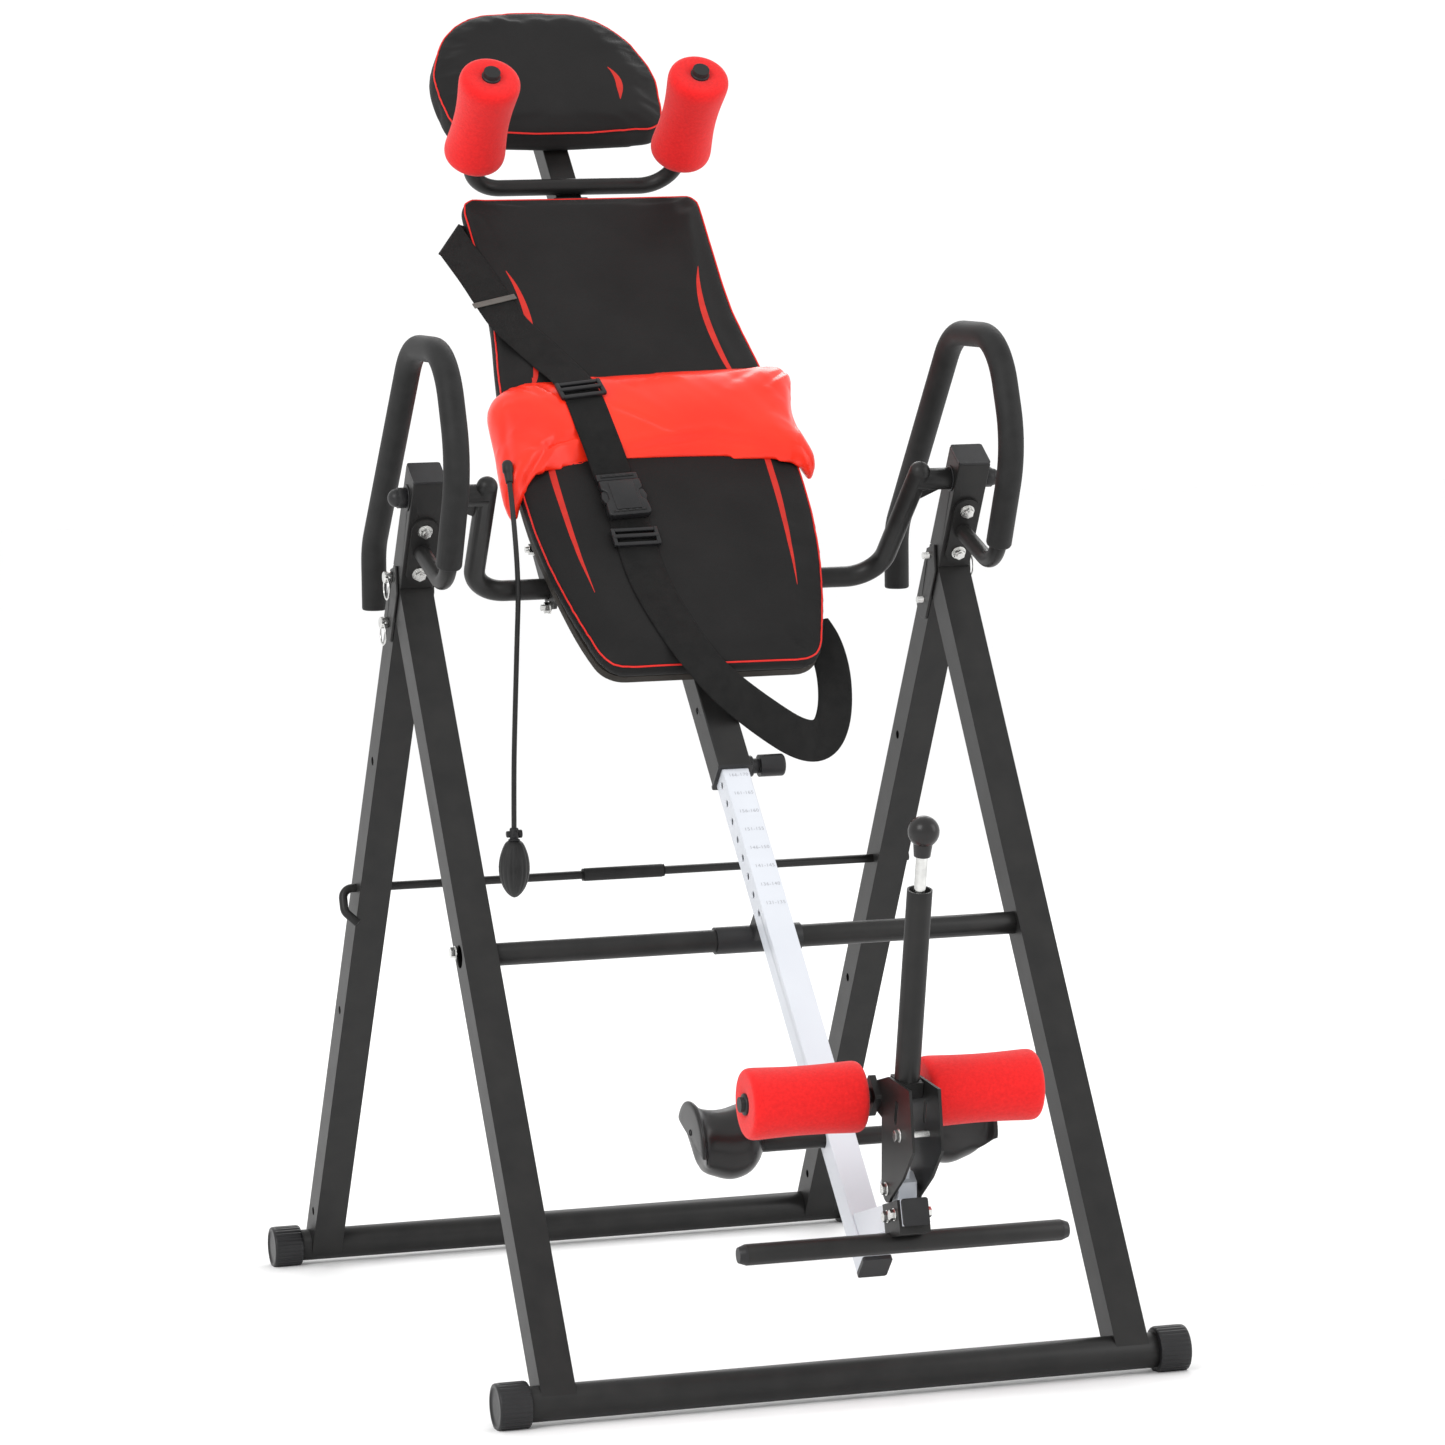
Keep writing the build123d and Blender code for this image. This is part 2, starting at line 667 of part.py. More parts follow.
def pads():
    """Back board and the cushion on it."""
    outline = pad_outline()
    with BuildPart() as board:
        with BuildSketch(bed_face(MAIN_T + MAIN / 2)):
            add(pad_outline(inset=4))
        extrude(amount=BOARD_FACE - (MAIN_T + MAIN / 2))
    save(board, "back_board")
    with BuildPart() as pad:
        with BuildSketch(bed_face(BOARD_FACE)):
            add(outline)
        extrude(amount=PAD_FACE - BOARD_FACE)
        fillet(pad.faces().sort_by(Axis(AXLE, OUT_BED))[-1].edges(), 6)
    save(pad, "back_pad")


PILLOW_LOW = 118.0
PILLOW_TOP = 270.0
PILLOW_THICK = 34.0


def lumbar_pillow():
    """Inflatable lumbar pillow across the pad: domed over the pad and folded round its edges."""
    half = 172.0
    with BuildPart() as pillow:
        with BuildSketch(bed_cross(PILLOW_LOW)):
            with BuildLine():
                Polyline((-half - 5, -PAD_FACE + 14), (-half - 11, -PAD_FACE + 4))
                ThreePointArc((-half - 11, -PAD_FACE + 4), (-half, -PAD_FACE - 22), (-140, -PAD_FACE - 32))
                ThreePointArc((-140, -PAD_FACE - 32), (0, -PAD_FACE - PILLOW_THICK), (140, -PAD_FACE - 30))
                ThreePointArc((140, -PAD_FACE - 30), (half, -PAD_FACE - 18), (half + 8, -PAD_FACE + 2))
                Polyline((half + 8, -PAD_FACE + 2), (half + 4, -PAD_FACE + 14), (half, -PAD_FACE + 14),
                         (half, -PAD_FACE - 0.4), (-half, -PAD_FACE - 0.4), (-half, -PAD_FACE + 14),
                         (-half - 5, -PAD_FACE + 14))
            make_face()
        extrude(amount=PILLOW_TOP - PILLOW_LOW)
    save(pillow, "lumbar_pillow")


STRAP_WIDTH = 48.0
STRAP_THICK = 2.4
STRAP_ROUTE = (
    (-187, 505, PAD_FACE - 28),
    (-176, 470, PAD_FACE + 3),
    (-139, 399, PAD_FACE + 5),
    (-98, 305, PAD_FACE + 12),
    (-76, 255, PAD_FACE + 38),
    (-56, 150, PAD_FACE + 40),
    (-49, 105, PAD_FACE + 26),
    (-60, 20, PAD_FACE + 9),
    (-17, -137, PAD_FACE + 4),
    (50, -200, PAD_FACE - 42),
    (98, -228, PAD_FACE - 66),
    (138, -200, PAD_FACE - 64),
    (152, -130, PAD_FACE - 50),
)


def strap_span(start, end):
    """One flat span of webbing between two route points, lying as flat to the pad as its slope allows."""
    along = end - start
    length = along.length
    along = along.normalized()
    side = along.cross(OUT_BED).normalized()
    normal = side.cross(along).normalized()
    with BuildPart() as span:
        with BuildSketch(Plane(origin=start + along * (length / 2), x_dir=along, z_dir=normal)):
            Rectangle(length + 10, STRAP_WIDTH)
        extrude(amount=STRAP_THICK / 2, both=True)
    return span.part


def strap():
    """Safety strap: webbing across the pad and pillow, and the slack loop below the pad."""
    points = [bed_point(*p) for p in STRAP_ROUTE]
    with BuildPart() as webbing:
        for start, end in zip(points, points[1:]):
            add(strap_span(start, end))
    save(webbing, "strap")


def strap_fitting(centre, along, size, thick):
    """Flat plastic fitting threaded on the strap."""
    side = along.cross(OUT_BED).normalized()
    normal = side.cross(along).normalized()
    with BuildPart() as piece:
        with BuildSketch(Plane(origin=centre + normal * 0.4, x_dir=along, z_dir=normal)):
            RectangleRounded(size[0], size[1], min(4, size[0] * 0.45))
        extrude(amount=thick)
    return piece.part


def strap_hardware():
    """Side-release buckle, two ladder slides and the flat bar on the strap."""
    spans = (
        ((-139, 399, PAD_FACE + 5), (-98, 305, PAD_FACE + 12), 0.08, (8, 52), 3.0),
        ((-76, 255, PAD_FACE + 38), (-56, 150, PAD_FACE + 40), 0.12, (26, 56), 6.0),
        ((-49, 105, PAD_FACE + 26), (-60, 20, PAD_FACE + 9), 0.35, (78, 52), 12.0),
        ((-60, 20, PAD_FACE + 9), (-17, -137, PAD_FACE + 4), 0.1, (28, 56), 6.0),
    )
    with BuildPart() as fittings:
        for start, end, share, size, thick in spans:
            a = bed_point(*start)
            b = bed_point(*end)
            along = (b - a).normalized()
            add(strap_fitting(a + (b - a) * share + OUT_BED * STRAP_THICK, along, size, thick))
    save(fittings, "strap_hardware")


def height_pin():
    """Pull pin for the boom's holes: welded nut, sprung plunger and its knob on the +X side."""
    side_plane = Plane(bed_point(MAIN / 2, PIN_S, MAIN_T), x_dir=UP_BED, z_dir=(1, 0, 0))
    with BuildPart() as housing:
        with BuildSketch(side_plane):
            Circle(12)
            Circle(4.3, mode=Mode.SUBTRACT)
        extrude(amount=7)
        chamfer(housing.faces().sort_by(Axis.X)[-1].edges().sort_by(SortBy.LENGTH)[-1], 1.0)
        with BuildSketch(side_plane.offset(7)):
            Circle(8.5)
            Circle(4.3, mode=Mode.SUBTRACT)
        extrude(amount=7)
    save(housing, "height_pin_housing")
    with BuildPart() as plunger:
        with BuildSketch(side_plane.offset(-3)):
            Circle(4.2)
        extrude(amount=3 + 30)
    save(plunger, "height_pin_plunger")
    with BuildPart() as knob:
        with BuildSketch(side_plane.offset(15)):
            Circle(12.5)
        extrude(amount=29)
        fillet(knob.faces().sort_by(Axis.X)[-1].edges(), 3)
        with BuildSketch(side_plane.offset(15)):
            Circle(4.2)
        extrude(amount=15, mode=Mode.SUBTRACT)
    save(knob, "height_knob")


# ---------------------------------------------------------------- head rest
HEAD_PAD_R = 140.0
HEAD_PAD_S = 766.0
SHOULDER_X = 129.0
SHOULDER_S = 620.0
SHOULDER_TUBE_R = 10.0
SHOULDER_T = MAIN_T + POST / 2 + SHOULDER_TUBE_R


def headrest():
    """Post, head pad and the cross tube of the shoulder rollers."""
    with BuildPart() as post:
        add(square_on_bed(430, 800, MAIN_T, POST, 2.0).part)
    save(post, "headrest_post")
    with BuildPart() as pad:
        with BuildSketch(bed_face(MAIN_T + POST / 2)):
            with BuildLine():
                ThreePointArc((-HEAD_PAD_R, HEAD_PAD_S), (0, HEAD_PAD_S + HEAD_PAD_R), (HEAD_PAD_R, HEAD_PAD_S))
                Line((HEAD_PAD_R, HEAD_PAD_S), (124, 704))
                ThreePointArc((124, 704), (0, 687), (-124, 704))
                Line((-124, 704), (-HEAD_PAD_R, HEAD_PAD_S))
            make_face()
        extrude(amount=PAD_FACE - (MAIN_T + POST / 2))
        fillet(pad.edges().filter_by(Axis(AXLE, OUT_BED)), 26)
        fillet(pad.faces().sort_by(Axis(AXLE, OUT_BED))[-1].edges(), 7)
    save(pad, "head_pad")
    with BuildPart() as tube:
        with BuildLine(bed_cross(SHOULDER_S)) as path:
            FilletPolyline(
                (-SHOULDER_X, -55), (-SHOULDER_X, -SHOULDER_T), (SHOULDER_X, -SHOULDER_T), (SHOULDER_X, -55),
                radius=42,
            )
        with BuildSketch(Plane(path.line @ 0, z_dir=path.line % 0)):
            Circle(SHOULDER_TUBE_R)
        sweep()
    save(tube, "shoulder_tube")


def waisted_roller(plane, length, radius, bore, waist=3.0, end_round=9.0):
    """Foam roller: slightly waisted, with rounded ends and a straight bore. The plane's z is the axis."""
    half = length / 2
    with BuildPart() as foam:
        with BuildSketch(Plane(plane.origin, x_dir=plane.z_dir, z_dir=plane.x_dir.cross(plane.z_dir) * -1)):
            with BuildLine():
                ThreePointArc((-half + end_round, radius), (0, radius - waist), (half - end_round, radius))
                ThreePointArc(
                    (half - end_round, radius),
                    (half - end_round * 0.29, radius - end_round * 0.29),
                    (half, radius - end_round),
                )
                Polyline((half, radius - end_round), (half, bore), (-half, bore), (-half, radius - end_round))
                ThreePointArc(
                    (-half, radius - end_round),
                    (-half + end_round * 0.29, radius - end_round * 0.29),
                    (-half + end_round, radius),
                )
            make_face()
        revolve(axis=Axis(plane.origin, plane.z_dir))
    return foam


def shoulder_rollers():
    """Foam rollers on the two ends of the shoulder tube, each with its end plug."""
    for side, suffix in ((-1, "left"), (1, "right")):
        axis_plane = Plane(bed_point(side * SHOULDER_X, SHOULDER_S, -15), x_dir=(1, 0, 0), z_dir=OUT_BED)
        with BuildPart() as roller:
            add(waisted_roller(axis_plane, 140, SHOULDER_R, SHOULDER_TUBE_R + RUNNING).part)
            with BuildSketch(axis_plane.offset(70.3)):
                Circle(SHOULDER_TUBE_R + 1)
            extrude(amount=3)
        save(roller, f"shoulder_roller_{suffix}")


# ---------------------------------------------------------------- boom and ankle clamp
SUPPORT = 27.0
SUPPORT_END = (-983.0, -14.8)
SUPPORT_DIR = (-0.496, 0.868)
SUPPORT_LENGTH = 154.0
HEEL_S = -783.0
HEEL_R = 9.5
CUP_X = 125.0
CUP_HALF = 39.0
CUP_FACING = radians(64.0)
FOOT_S = -985.0
FOOT_T = -66.0
FOOT_R = 11.0
FOOT_HALF = 170.0
LEVER_PIVOT = (-943.0, -29.0)
LEVER_BOLT = (-930.0, 46.0)
ROLLER_AT = (-856.0, 14.0)
LEVER_FOOT = (-884.0, 54.0)
LEVER_TOP = (-769.4, 243.0)
LEVER_TUBE_R = 13.0
PLATE_X = 14.0
BALL_R = 16.0


def support_plane(back=0.0):
    """Plane across the ankle support tube at a distance back from its outer end."""
    outward = (UP_BED * SUPPORT_DIR[0] + OUT_BED * SUPPORT_DIR[1]).normalized()
    return Plane(bed_point(0, *SUPPORT_END) - outward * back, x_dir=(1, 0, 0), z_dir=outward)


def boom():
    """Sliding boom with its row of height holes."""
    with BuildPart() as tube:
        add(square_on_bed(BOOM_LOW, BOOM_TOP, MAIN_T, BOOM, BOOM_WALL).part)
        rows = [HOLE_FIRST - HOLE_PITCH * k for k in range(-6, BOOM_HOLES)]
        with Locations(*[across(bed_point(0, s, MAIN_T)) for s in rows]):
            Cylinder(4.0, BOOM + 1, mode=Mode.SUBTRACT)
        with Locations(across(bed_point(0, HEEL_S, MAIN_T))):
            Cylinder(HEEL_R, BOOM + 1, mode=Mode.SUBTRACT)
    save(tube, "boom")


def boom_plugs():
    """Plastic plugs of the boom's foot and of the ankle support, and of the foot bar's ends."""
    with BuildPart() as plugs:
        with BuildSketch(bed_cross(BOOM_LOW)):
            with Locations((0, -MAIN_T)):
                RectangleRounded(BOOM + 1, BOOM + 1, 3)
        extrude(amount=-5)
        with BuildSketch(bed_cross(BOOM_LOW)):
            with Locations((0, -MAIN_T)):
                Rectangle(BOOM - 2 * BOOM_WALL, BOOM - 2 * BOOM_WALL)
        extrude(amount=10)
        with BuildSketch(support_plane()):
            RectangleRounded(SUPPORT + 1, SUPPORT + 1, 3)
        extrude(amount=4)
        with BuildSketch(support_plane()):
            Rectangle(SUPPORT - 4, SUPPORT - 4)
        extrude(amount=-8)
        for side in (-1, 1):
            end = bed_point(side * FOOT_HALF, FOOT_S, FOOT_T)
            with BuildSketch(Plane(end, x_dir=UP_BED, z_dir=(side, 0, 0))):
                Circle(FOOT_R)
            extrude(amount=8, taper=20)
    save(plugs, "boom_plugs")


def heel_bar():
    """Fixed bar through the boom that carries the two heel cups."""
    point = bed_point(0, HEEL_S, MAIN_T)
    half = CUP_X + CUP_HALF - 11
    save(x_rod(BED_X - half, BED_X + half, point, HEEL_R), "heel_bar")


def heel_cups():
    """Heel cups: saddles round the bar, whose outer flange stands up beside the ankle only."""
    facing = (UP_BED * cos(CUP_FACING) + OUT_BED * sin(CUP_FACING)).normalized()
    flange_start = CUP_HALF - 12
    with BuildPart() as cups:
        for side in (-1, 1):
            centre = bed_point(side * CUP_X, HEEL_S, MAIN_T)
            outward = Vector(side, 0, 0)
            with BuildSketch(Plane(centre, x_dir=outward, z_dir=outward.cross(OUT_BED))):
                with BuildLine():
                    Line((-CUP_HALF, 0), (-CUP_HALF, 20))
                    Spline(
                        (-CUP_HALF, 20), (-34, 31), (-20, 38.5), (0, 38), (17, 36), (28, 42), (CUP_HALF - 4, 50),
                    )
                    Polyline((CUP_HALF - 4, 50), (CUP_HALF, 50), (CUP_HALF, 0), (-CUP_HALF, 0))
                make_face()
            revolve(axis=Axis(centre, (1, 0, 0)))
            with BuildSketch(Plane(centre + facing * (HEEL_R + 1.5), x_dir=outward, z_dir=facing * -1)):
                with Locations((flange_start + 20, 0)):
                    Rectangle(40, 130)
            extrude(amount=80, mode=Mode.SUBTRACT)
            with Locations(across(centre)):
                Cylinder(HEEL_R, 3 * CUP_HALF, mode=Mode.SUBTRACT)
    save(cups, "heel_cups")


def ankle_support():
    """Short tube forward of the boom, with the pivot lug of the lever and the ratchet sector on top."""
    lug_half = 10.0
    with BuildPart() as support:
        with BuildSketch(support_plane()):
            Rectangle(SUPPORT, SUPPORT)
            Rectangle(SUPPORT - 4, SUPPORT - 4, mode=Mode.SUBTRACT)
        extrude(amount=-SUPPORT_LENGTH - 40)
        with BuildSketch(bed_cross(BOOM_LOW - 100)):
            with Locations((0, -MAIN_T)):
                Rectangle(BOOM, BOOM)
        extrude(amount=300, mode=Mode.SUBTRACT)
        with BuildSketch(bed_cross(BOOM_LOW - 100)):
            with Locations((0, -MAIN_T + 70)):
                Rectangle(200, 140)
        extrude(amount=300, mode=Mode.SUBTRACT)
        with BuildSketch(bed_side(0)):
            Polygon((-962, -25), (-948, -51), (-913, -60), (-918, -30), (-935, -12), (-950, -10), align=None)
            with Locations(LEVER_PIVOT):
                Circle(12)
        extrude(amount=lug_half, both=True)
        with BuildSketch(bed_side(0)):
            with BuildLine():
                Polyline((-934, -20), (-880, -2))
                ThreePointArc((-880, -2), (-895, 22), (-919, 34))
                Polyline((-919, 34), (-950, -20), (-934, -20))
            make_face()
        extrude(amount=3, both=True)
        with BuildSketch(bed_side(0)):
            with Locations(LEVER_PIVOT):
                Circle(4 + RUNNING)
        extrude(amount=lug_half + 2, both=True, mode=Mode.SUBTRACT)
    save(support, "ankle_support")


def foot_bar():
    """Round foot rest under the ankle support, welded to the U bracket that clamps the support."""
    centre = bed_point(0, FOOT_S, FOOT_T)
    bracket = support_plane(40)
    drop = -SUPPORT / 2
    with BuildPart() as bar:
        with BuildSketch(Plane(centre - Vector(FOOT_HALF, 0, 0), x_dir=(0, 1, 0), z_dir=(1, 0, 0))):
            Circle(FOOT_R)
        extrude(amount=2 * FOOT_HALF)
        with BuildSketch(support_plane(4)):
            with Locations((0, -4)):
                Rectangle(SUPPORT + 6, SUPPORT + 8)
            with Locations((0, SUPPORT / 2)):
                Rectangle(SUPPORT, 2 * SUPPORT, mode=Mode.SUBTRACT)
        extrude(amount=-48)
        with Locations(across(support_plane(16).origin), across(support_plane(38).origin)):
            Cylinder(3.5, 60, mode=Mode.SUBTRACT)
    save(bar, "foot_bar")


def boom_bolts():
    """Two bolts through the U bracket and the ankle support."""
    with BuildPart() as bolts:
        for back in (16, 38):
            centre = support_plane(back).origin
            reach = SUPPORT / 2 + 3
            for side in (-1, 1):
                face = centre + Vector(side * reach, 0, 0)
                with BuildSketch(Plane(face, z_dir=(side, 0, 0))):
                    Circle(6.5)
                extrude(amount=1.2)
                with BuildSketch(Plane(face + Vector(side * 1.2, 0, 0), z_dir=(side, 0, 0))):
                    RegularPolygon(5.6, 6)
                extrude(amount=4.5)
    save(bolts, "boom_bolts")


def lever_frame():
    """Ankle lever: two side plates, the hand tube, and the square block with the roller axle."""
    start = bed_point(0, *LEVER_FOOT)
    end = bed_point(0, *LEVER_TOP)
    along = (end - start).normalized()
    with BuildPart() as lever:
        for side in (-1, 1):
            with BuildSketch(bed_side(side * PLATE_X)):
                Polygon(
                    (-955, -35), (-966, 20), (-966, 66), (-917, 104), (-868, 62), (-846, 26), (-860, 0),
                    (-884, 14), (-930, -38), (-940, -42),
                    align=None,
                )
                with Locations(LEVER_PIVOT):
                    Circle(14)
                with Locations(LEVER_PIVOT):
                    Circle(4 + RUNNING, mode=Mode.SUBTRACT)
                with Locations(LEVER_BOLT):
                    Circle(4, mode=Mode.SUBTRACT)
                with Locations((-908, 54)):
                    SlotOverall(26, 8, rotation=60, mode=Mode.SUBTRACT)
            extrude(amount=side * PLATE)
        with BuildSketch(Plane(start, z_dir=along)):
            Circle(LEVER_TUBE_R)
            Circle(LEVER_TUBE_R - 2, mode=Mode.SUBTRACT)
        extrude(amount=(end - start).length)
        with BuildSketch(Plane(start, z_dir=along)):
            Rectangle(2 * PLATE_X, 2 * LEVER_TUBE_R)
            Circle(LEVER_TUBE_R - 2, mode=Mode.SUBTRACT)
        extrude(amount=16)
        add(x_rod(BED_X - 163, BED_X + 163, bed_point(0, *ROLLER_AT), 8).part)
        for side in (-1, 1):
            face = bed_point(side * (PLATE_X + PLATE), *ROLLER_AT)
            with BuildSketch(Plane(face, x_dir=UP_BED, z_dir=(side, 0, 0))):
                RectangleRounded(30, 34, 3)
            extrude(amount=7)
    save(lever, "ankle_lever")


def lever_bolts():
    """Pivot bolt of the lever and the bolt through its plates."""
    with BuildPart() as bolts:
        for at in (LEVER_PIVOT, LEVER_BOLT):
            centre = bed_point(0, *at)
            add(x_rod(BED_X - PLATE_X - PLATE, BED_X + PLATE_X + PLATE, centre, 4).part)
            for side in (-1, 1):
                face = bed_point(side * (PLATE_X + PLATE), *at)
                with BuildSketch(Plane(face, z_dir=(side, 0, 0))):
                    Circle(7)
                extrude(amount=1.2)
                with BuildSketch(Plane(face + Vector(side * 1.2, 0, 0), z_dir=(side, 0, 0))):
                    RegularPolygon(6, 6)
                extrude(amount=4.5)
    save(bolts, "lever_bolts")


def ankle_rollers():
    """Foam rollers on the two ends of the roller axle, each with its end plug."""
    for side, suffix in ((-1, "left"), (1, "right")):
        axis_plane = Plane(bed_point(side * 95, *ROLLER_AT), x_dir=UP_BED, z_dir=(side, 0, 0))
        with BuildPart() as roller:
            add(waisted_roller(axis_plane, FOAM_LENGTH, FOAM_R, 8 + RUNNING).part)
            with BuildSketch(axis_plane.offset(FOAM_LENGTH / 2 + 0.3)):
                Circle(9)
            extrude(amount=3)
        save(roller, f"ankle_roller_{suffix}")


def release_rod():
    """Silver rod in the hand tube, its ball knob, and the latch finger at its foot."""
    start = bed_point(0, *LEVER_FOOT)
    end = bed_point(0, *LEVER_TOP)
    along = (end - start).normalized()
    with BuildPart() as rod:
        with BuildSketch(Plane(start - along * 2, z_dir=along)):
            Circle(6)
        extrude(amount=(end - start).length + 2 + 50)
    save(rod, "release_rod")
    with BuildPart() as ball:
        with Locations(Location(end + along * 62)):
            Sphere(BALL_R)
        with BuildSketch(Plane(end + along * 36, z_dir=along)):
            Circle(8.5)
        extrude(amount=16, taper=-6)
        with BuildSketch(Plane(end + along * 30, z_dir=along)):
            Circle(6)
        extrude(amount=20, mode=Mode.SUBTRACT)
    save(ball, "lever_knob")


# ---------------------------------------------------------------- air hose of the lumbar pillow
HOSE_R = 3.0
HOSE_UPPER = (
    (-180.0, 152.0, 970.0),
    (-181.0, 140.0, 948.0),
    (-183.0, 124.0, 918.0),
    (-185.0, 109.0, 880.0),
    (-187.0, 99.5, 850.0),
    (-188.0, 97.5, 827.0),
)
HOSE_LOWER = (
    (-188.0, 97.5, 827.0),
    (-190.0, 99.0, 790.0),
    (-192.0, 102.0, 742.0),
    (-194.0, 106.0, 690.0),
    (-196.0, 110.0, 632.0),
    (-197.0, 112.0, 572.0),
)
KNUCKLE_GAP = 0.4
BULB_LENGTH = 66.0
VALVE_LENGTH = 14.0


def hose_tube(name, points):
    """One stretch of the hose: straight runs joined by tangent arcs as large as the runs allow."""
    radii = []
    for before, here, after in zip(points, points[1:], points[2:]):
        run_in = here - before
        run_out = after - here
        turn = radians(run_in.get_angle(run_out))
        radii.append(0.45 * min(run_in.length, run_out.length) / tan(turn / 2))
    with BuildPart() as tube:
        with BuildLine() as path:
            FilletPolyline(*points, radius=radii)
        with BuildSketch(Plane(path.line @ 0, z_dir=path.line % 0)):
            Circle(HOSE_R)
        sweep()
    length = sum(edge.length for edge in path.edges())
    print(name, "radii", [round(r) for r in radii], "length", round(length, 1))
    print(name, "volume", round(tube.part.volume), "section x length", round(pi * HOSE_R**2 * length))
    return tube


def hose():
    """Air hose from behind the pillow's edge, past the arm, down to its valve and bulb.

    The upper stretch ends in a round knuckle that the lower stretch swings about as the bed turns.
    """
    upper = [Vector(x, AXLE_Y + y, z) for x, y, z in HOSE_UPPER]
    with BuildPart() as top:
        add(hose_tube("hose_upper", upper).part)
        with Locations(across(upper[-1])):
            Cylinder(HOSE_R, 2 * HOSE_R)
    save(top, "hose_upper")
    lower = [Vector(x, AXLE_Y + y, z) for x, y, z in HOSE_LOWER]
    lower[0] = lower[0] + (lower[1] - lower[0]).normalized() * (HOSE_R + KNUCKLE_GAP)
    save(hose_tube("hose_lower", lower), "hose_lower")
    end = lower[-1]
    down = (lower[-1] - lower[-2]).normalized()
    with BuildPart() as bulb:
        with BuildSketch(Plane(end, z_dir=down)):
            Circle(6)
        extrude(amount=VALVE_LENGTH)
        with BuildSketch(Plane(end + down * 7 + Vector(-9, 0, 0), x_dir=(0, 1, 0), z_dir=(1, 0, 0))):
            Circle(5)
        extrude(amount=18)
        origin = end + down * VALVE_LENGTH
        side = down.cross(Vector(0, 1, 0)).normalized()
        with BuildSketch(Plane(origin, x_dir=side, z_dir=side.cross(down))):
            with BuildLine():
                Spline(
                    (0, BULB_LENGTH), (15, 50), (18.5, 30), (14, 12), (6, 0), tangents=((1, 0), (-0.5, -1)),
                )
                Polyline((6, 0), (0, 0), (0, BULB_LENGTH))
            make_face()
        revolve(axis=Axis(origin, down))
    save(bulb, "squeeze_bulb")


# ---------------------------------------------------------------- build
base_tube("front_base_tube", FRONT_BAR_Y)
base_tube("rear_base_tube", REAR_BAR_Y)
base_caps("rear_base_caps", REAR_BAR_Y)
end_caps()
for leg_sign, leg_suffix in ((-1, "left"), (1, "right")):
    front_leg(leg_sign, f"front_leg_{leg_suffix}")
    head(leg_sign, f"head_{leg_suffix}")
    rear_leg(leg_sign, f"rear_leg_{leg_suffix}")
    save(ring_pin(leg_sign, LOCK_PIN_AT), f"lock_pin_{leg_suffix}")
    handle(leg_sign, leg_suffix)
    pivot_arm(leg_sign, leg_suffix)
handle_grips()
hinge_plates()
hinge_pins()
crossbar()
frame_bolts()
pivot_bushes()
angle_rod()
pivot_axles()
main_tube()
tube_collars()
pad_brackets()
pad_bolts()
pads()
lumbar_pillow()
strap()
strap_hardware()
height_pin()
headrest()
shoulder_rollers()
boom()
boom_plugs()
heel_bar()
heel_cups()
ankle_support()
foot_bar()
boom_bolts()
lever_frame()
lever_bolts()
ankle_rollers()
release_rod()
hose()
print("lean", round(degrees(LEAN), 3), "front tilt", round(degrees(FRONT_TILT), 3))
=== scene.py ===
"""The looks of a folding inversion table: materials for its metal parts, and its soft parts in full.

Lengths in bed coordinates are in millimetres: x across the bed, s up the bed and t towards the user,
all from the table's pivot. Everything else is in metres, in the part's own frame.
"""

import json
import math

import bmesh
import bpy
from mathutils import Matrix, Vector, noise
from mathutils.bvhtree import BVHTree


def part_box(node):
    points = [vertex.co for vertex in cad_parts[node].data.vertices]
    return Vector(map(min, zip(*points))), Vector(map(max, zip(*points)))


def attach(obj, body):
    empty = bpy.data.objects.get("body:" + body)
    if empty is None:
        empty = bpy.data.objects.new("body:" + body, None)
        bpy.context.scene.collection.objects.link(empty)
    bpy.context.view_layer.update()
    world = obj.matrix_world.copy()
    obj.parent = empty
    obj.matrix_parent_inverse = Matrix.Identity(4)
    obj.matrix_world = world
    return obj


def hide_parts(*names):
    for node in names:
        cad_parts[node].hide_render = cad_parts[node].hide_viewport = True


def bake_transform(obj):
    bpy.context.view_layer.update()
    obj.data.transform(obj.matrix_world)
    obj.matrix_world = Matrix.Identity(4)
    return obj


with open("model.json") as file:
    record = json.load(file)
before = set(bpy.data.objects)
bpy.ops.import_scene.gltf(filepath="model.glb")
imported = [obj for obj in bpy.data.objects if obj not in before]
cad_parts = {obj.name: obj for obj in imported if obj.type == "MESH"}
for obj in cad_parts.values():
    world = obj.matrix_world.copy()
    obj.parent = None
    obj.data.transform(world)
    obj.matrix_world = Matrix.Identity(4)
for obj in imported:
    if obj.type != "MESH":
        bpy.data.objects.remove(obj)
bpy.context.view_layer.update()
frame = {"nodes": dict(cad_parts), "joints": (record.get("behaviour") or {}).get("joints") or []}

MM = 0.001
JOINTS = {joint["name"]: joint for joint in frame["joints"]}
ACROSS = Vector((1, 0, 0))
UP = Vector(JOINTS["boom_slide"]["axis"])
OUT = Vector(JOINTS["shoulder_roller_left_spin"]["axis"])


def middle(node):
    """The middle of a node's box."""
    low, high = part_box(node)
    return (low + high) / 2


AXLE = Vector(JOINTS["table_pivot"]["pos_m"])
AXLE.x = middle("main_tube").x


def bed(x, s, t):
    """A point given in bed coordinates, in the part's frame."""
    return AXLE + ACROSS * x * MM + UP * s * MM + OUT * t * MM


def in_bed(point):
    """A point of the part's frame in bed coordinates."""
    away = point - AXLE
    return Vector((away.x, away.dot(UP), away.dot(OUT))) / MM


# ---------------------------------------------------------------- sizes, in bed coordinates
PAD_FACE = -111.0
PILLOW_BEND = 20.0
STRAP_WIDTH = 48.0
STRAP_THICK = 1.8
BOOM_FACE = -148.5
HOLE_FIRST = -299.5
HOLE_PITCH = 25.8
BED_SIDE_X = 148.0
PIPING_R = 1.1 * MM


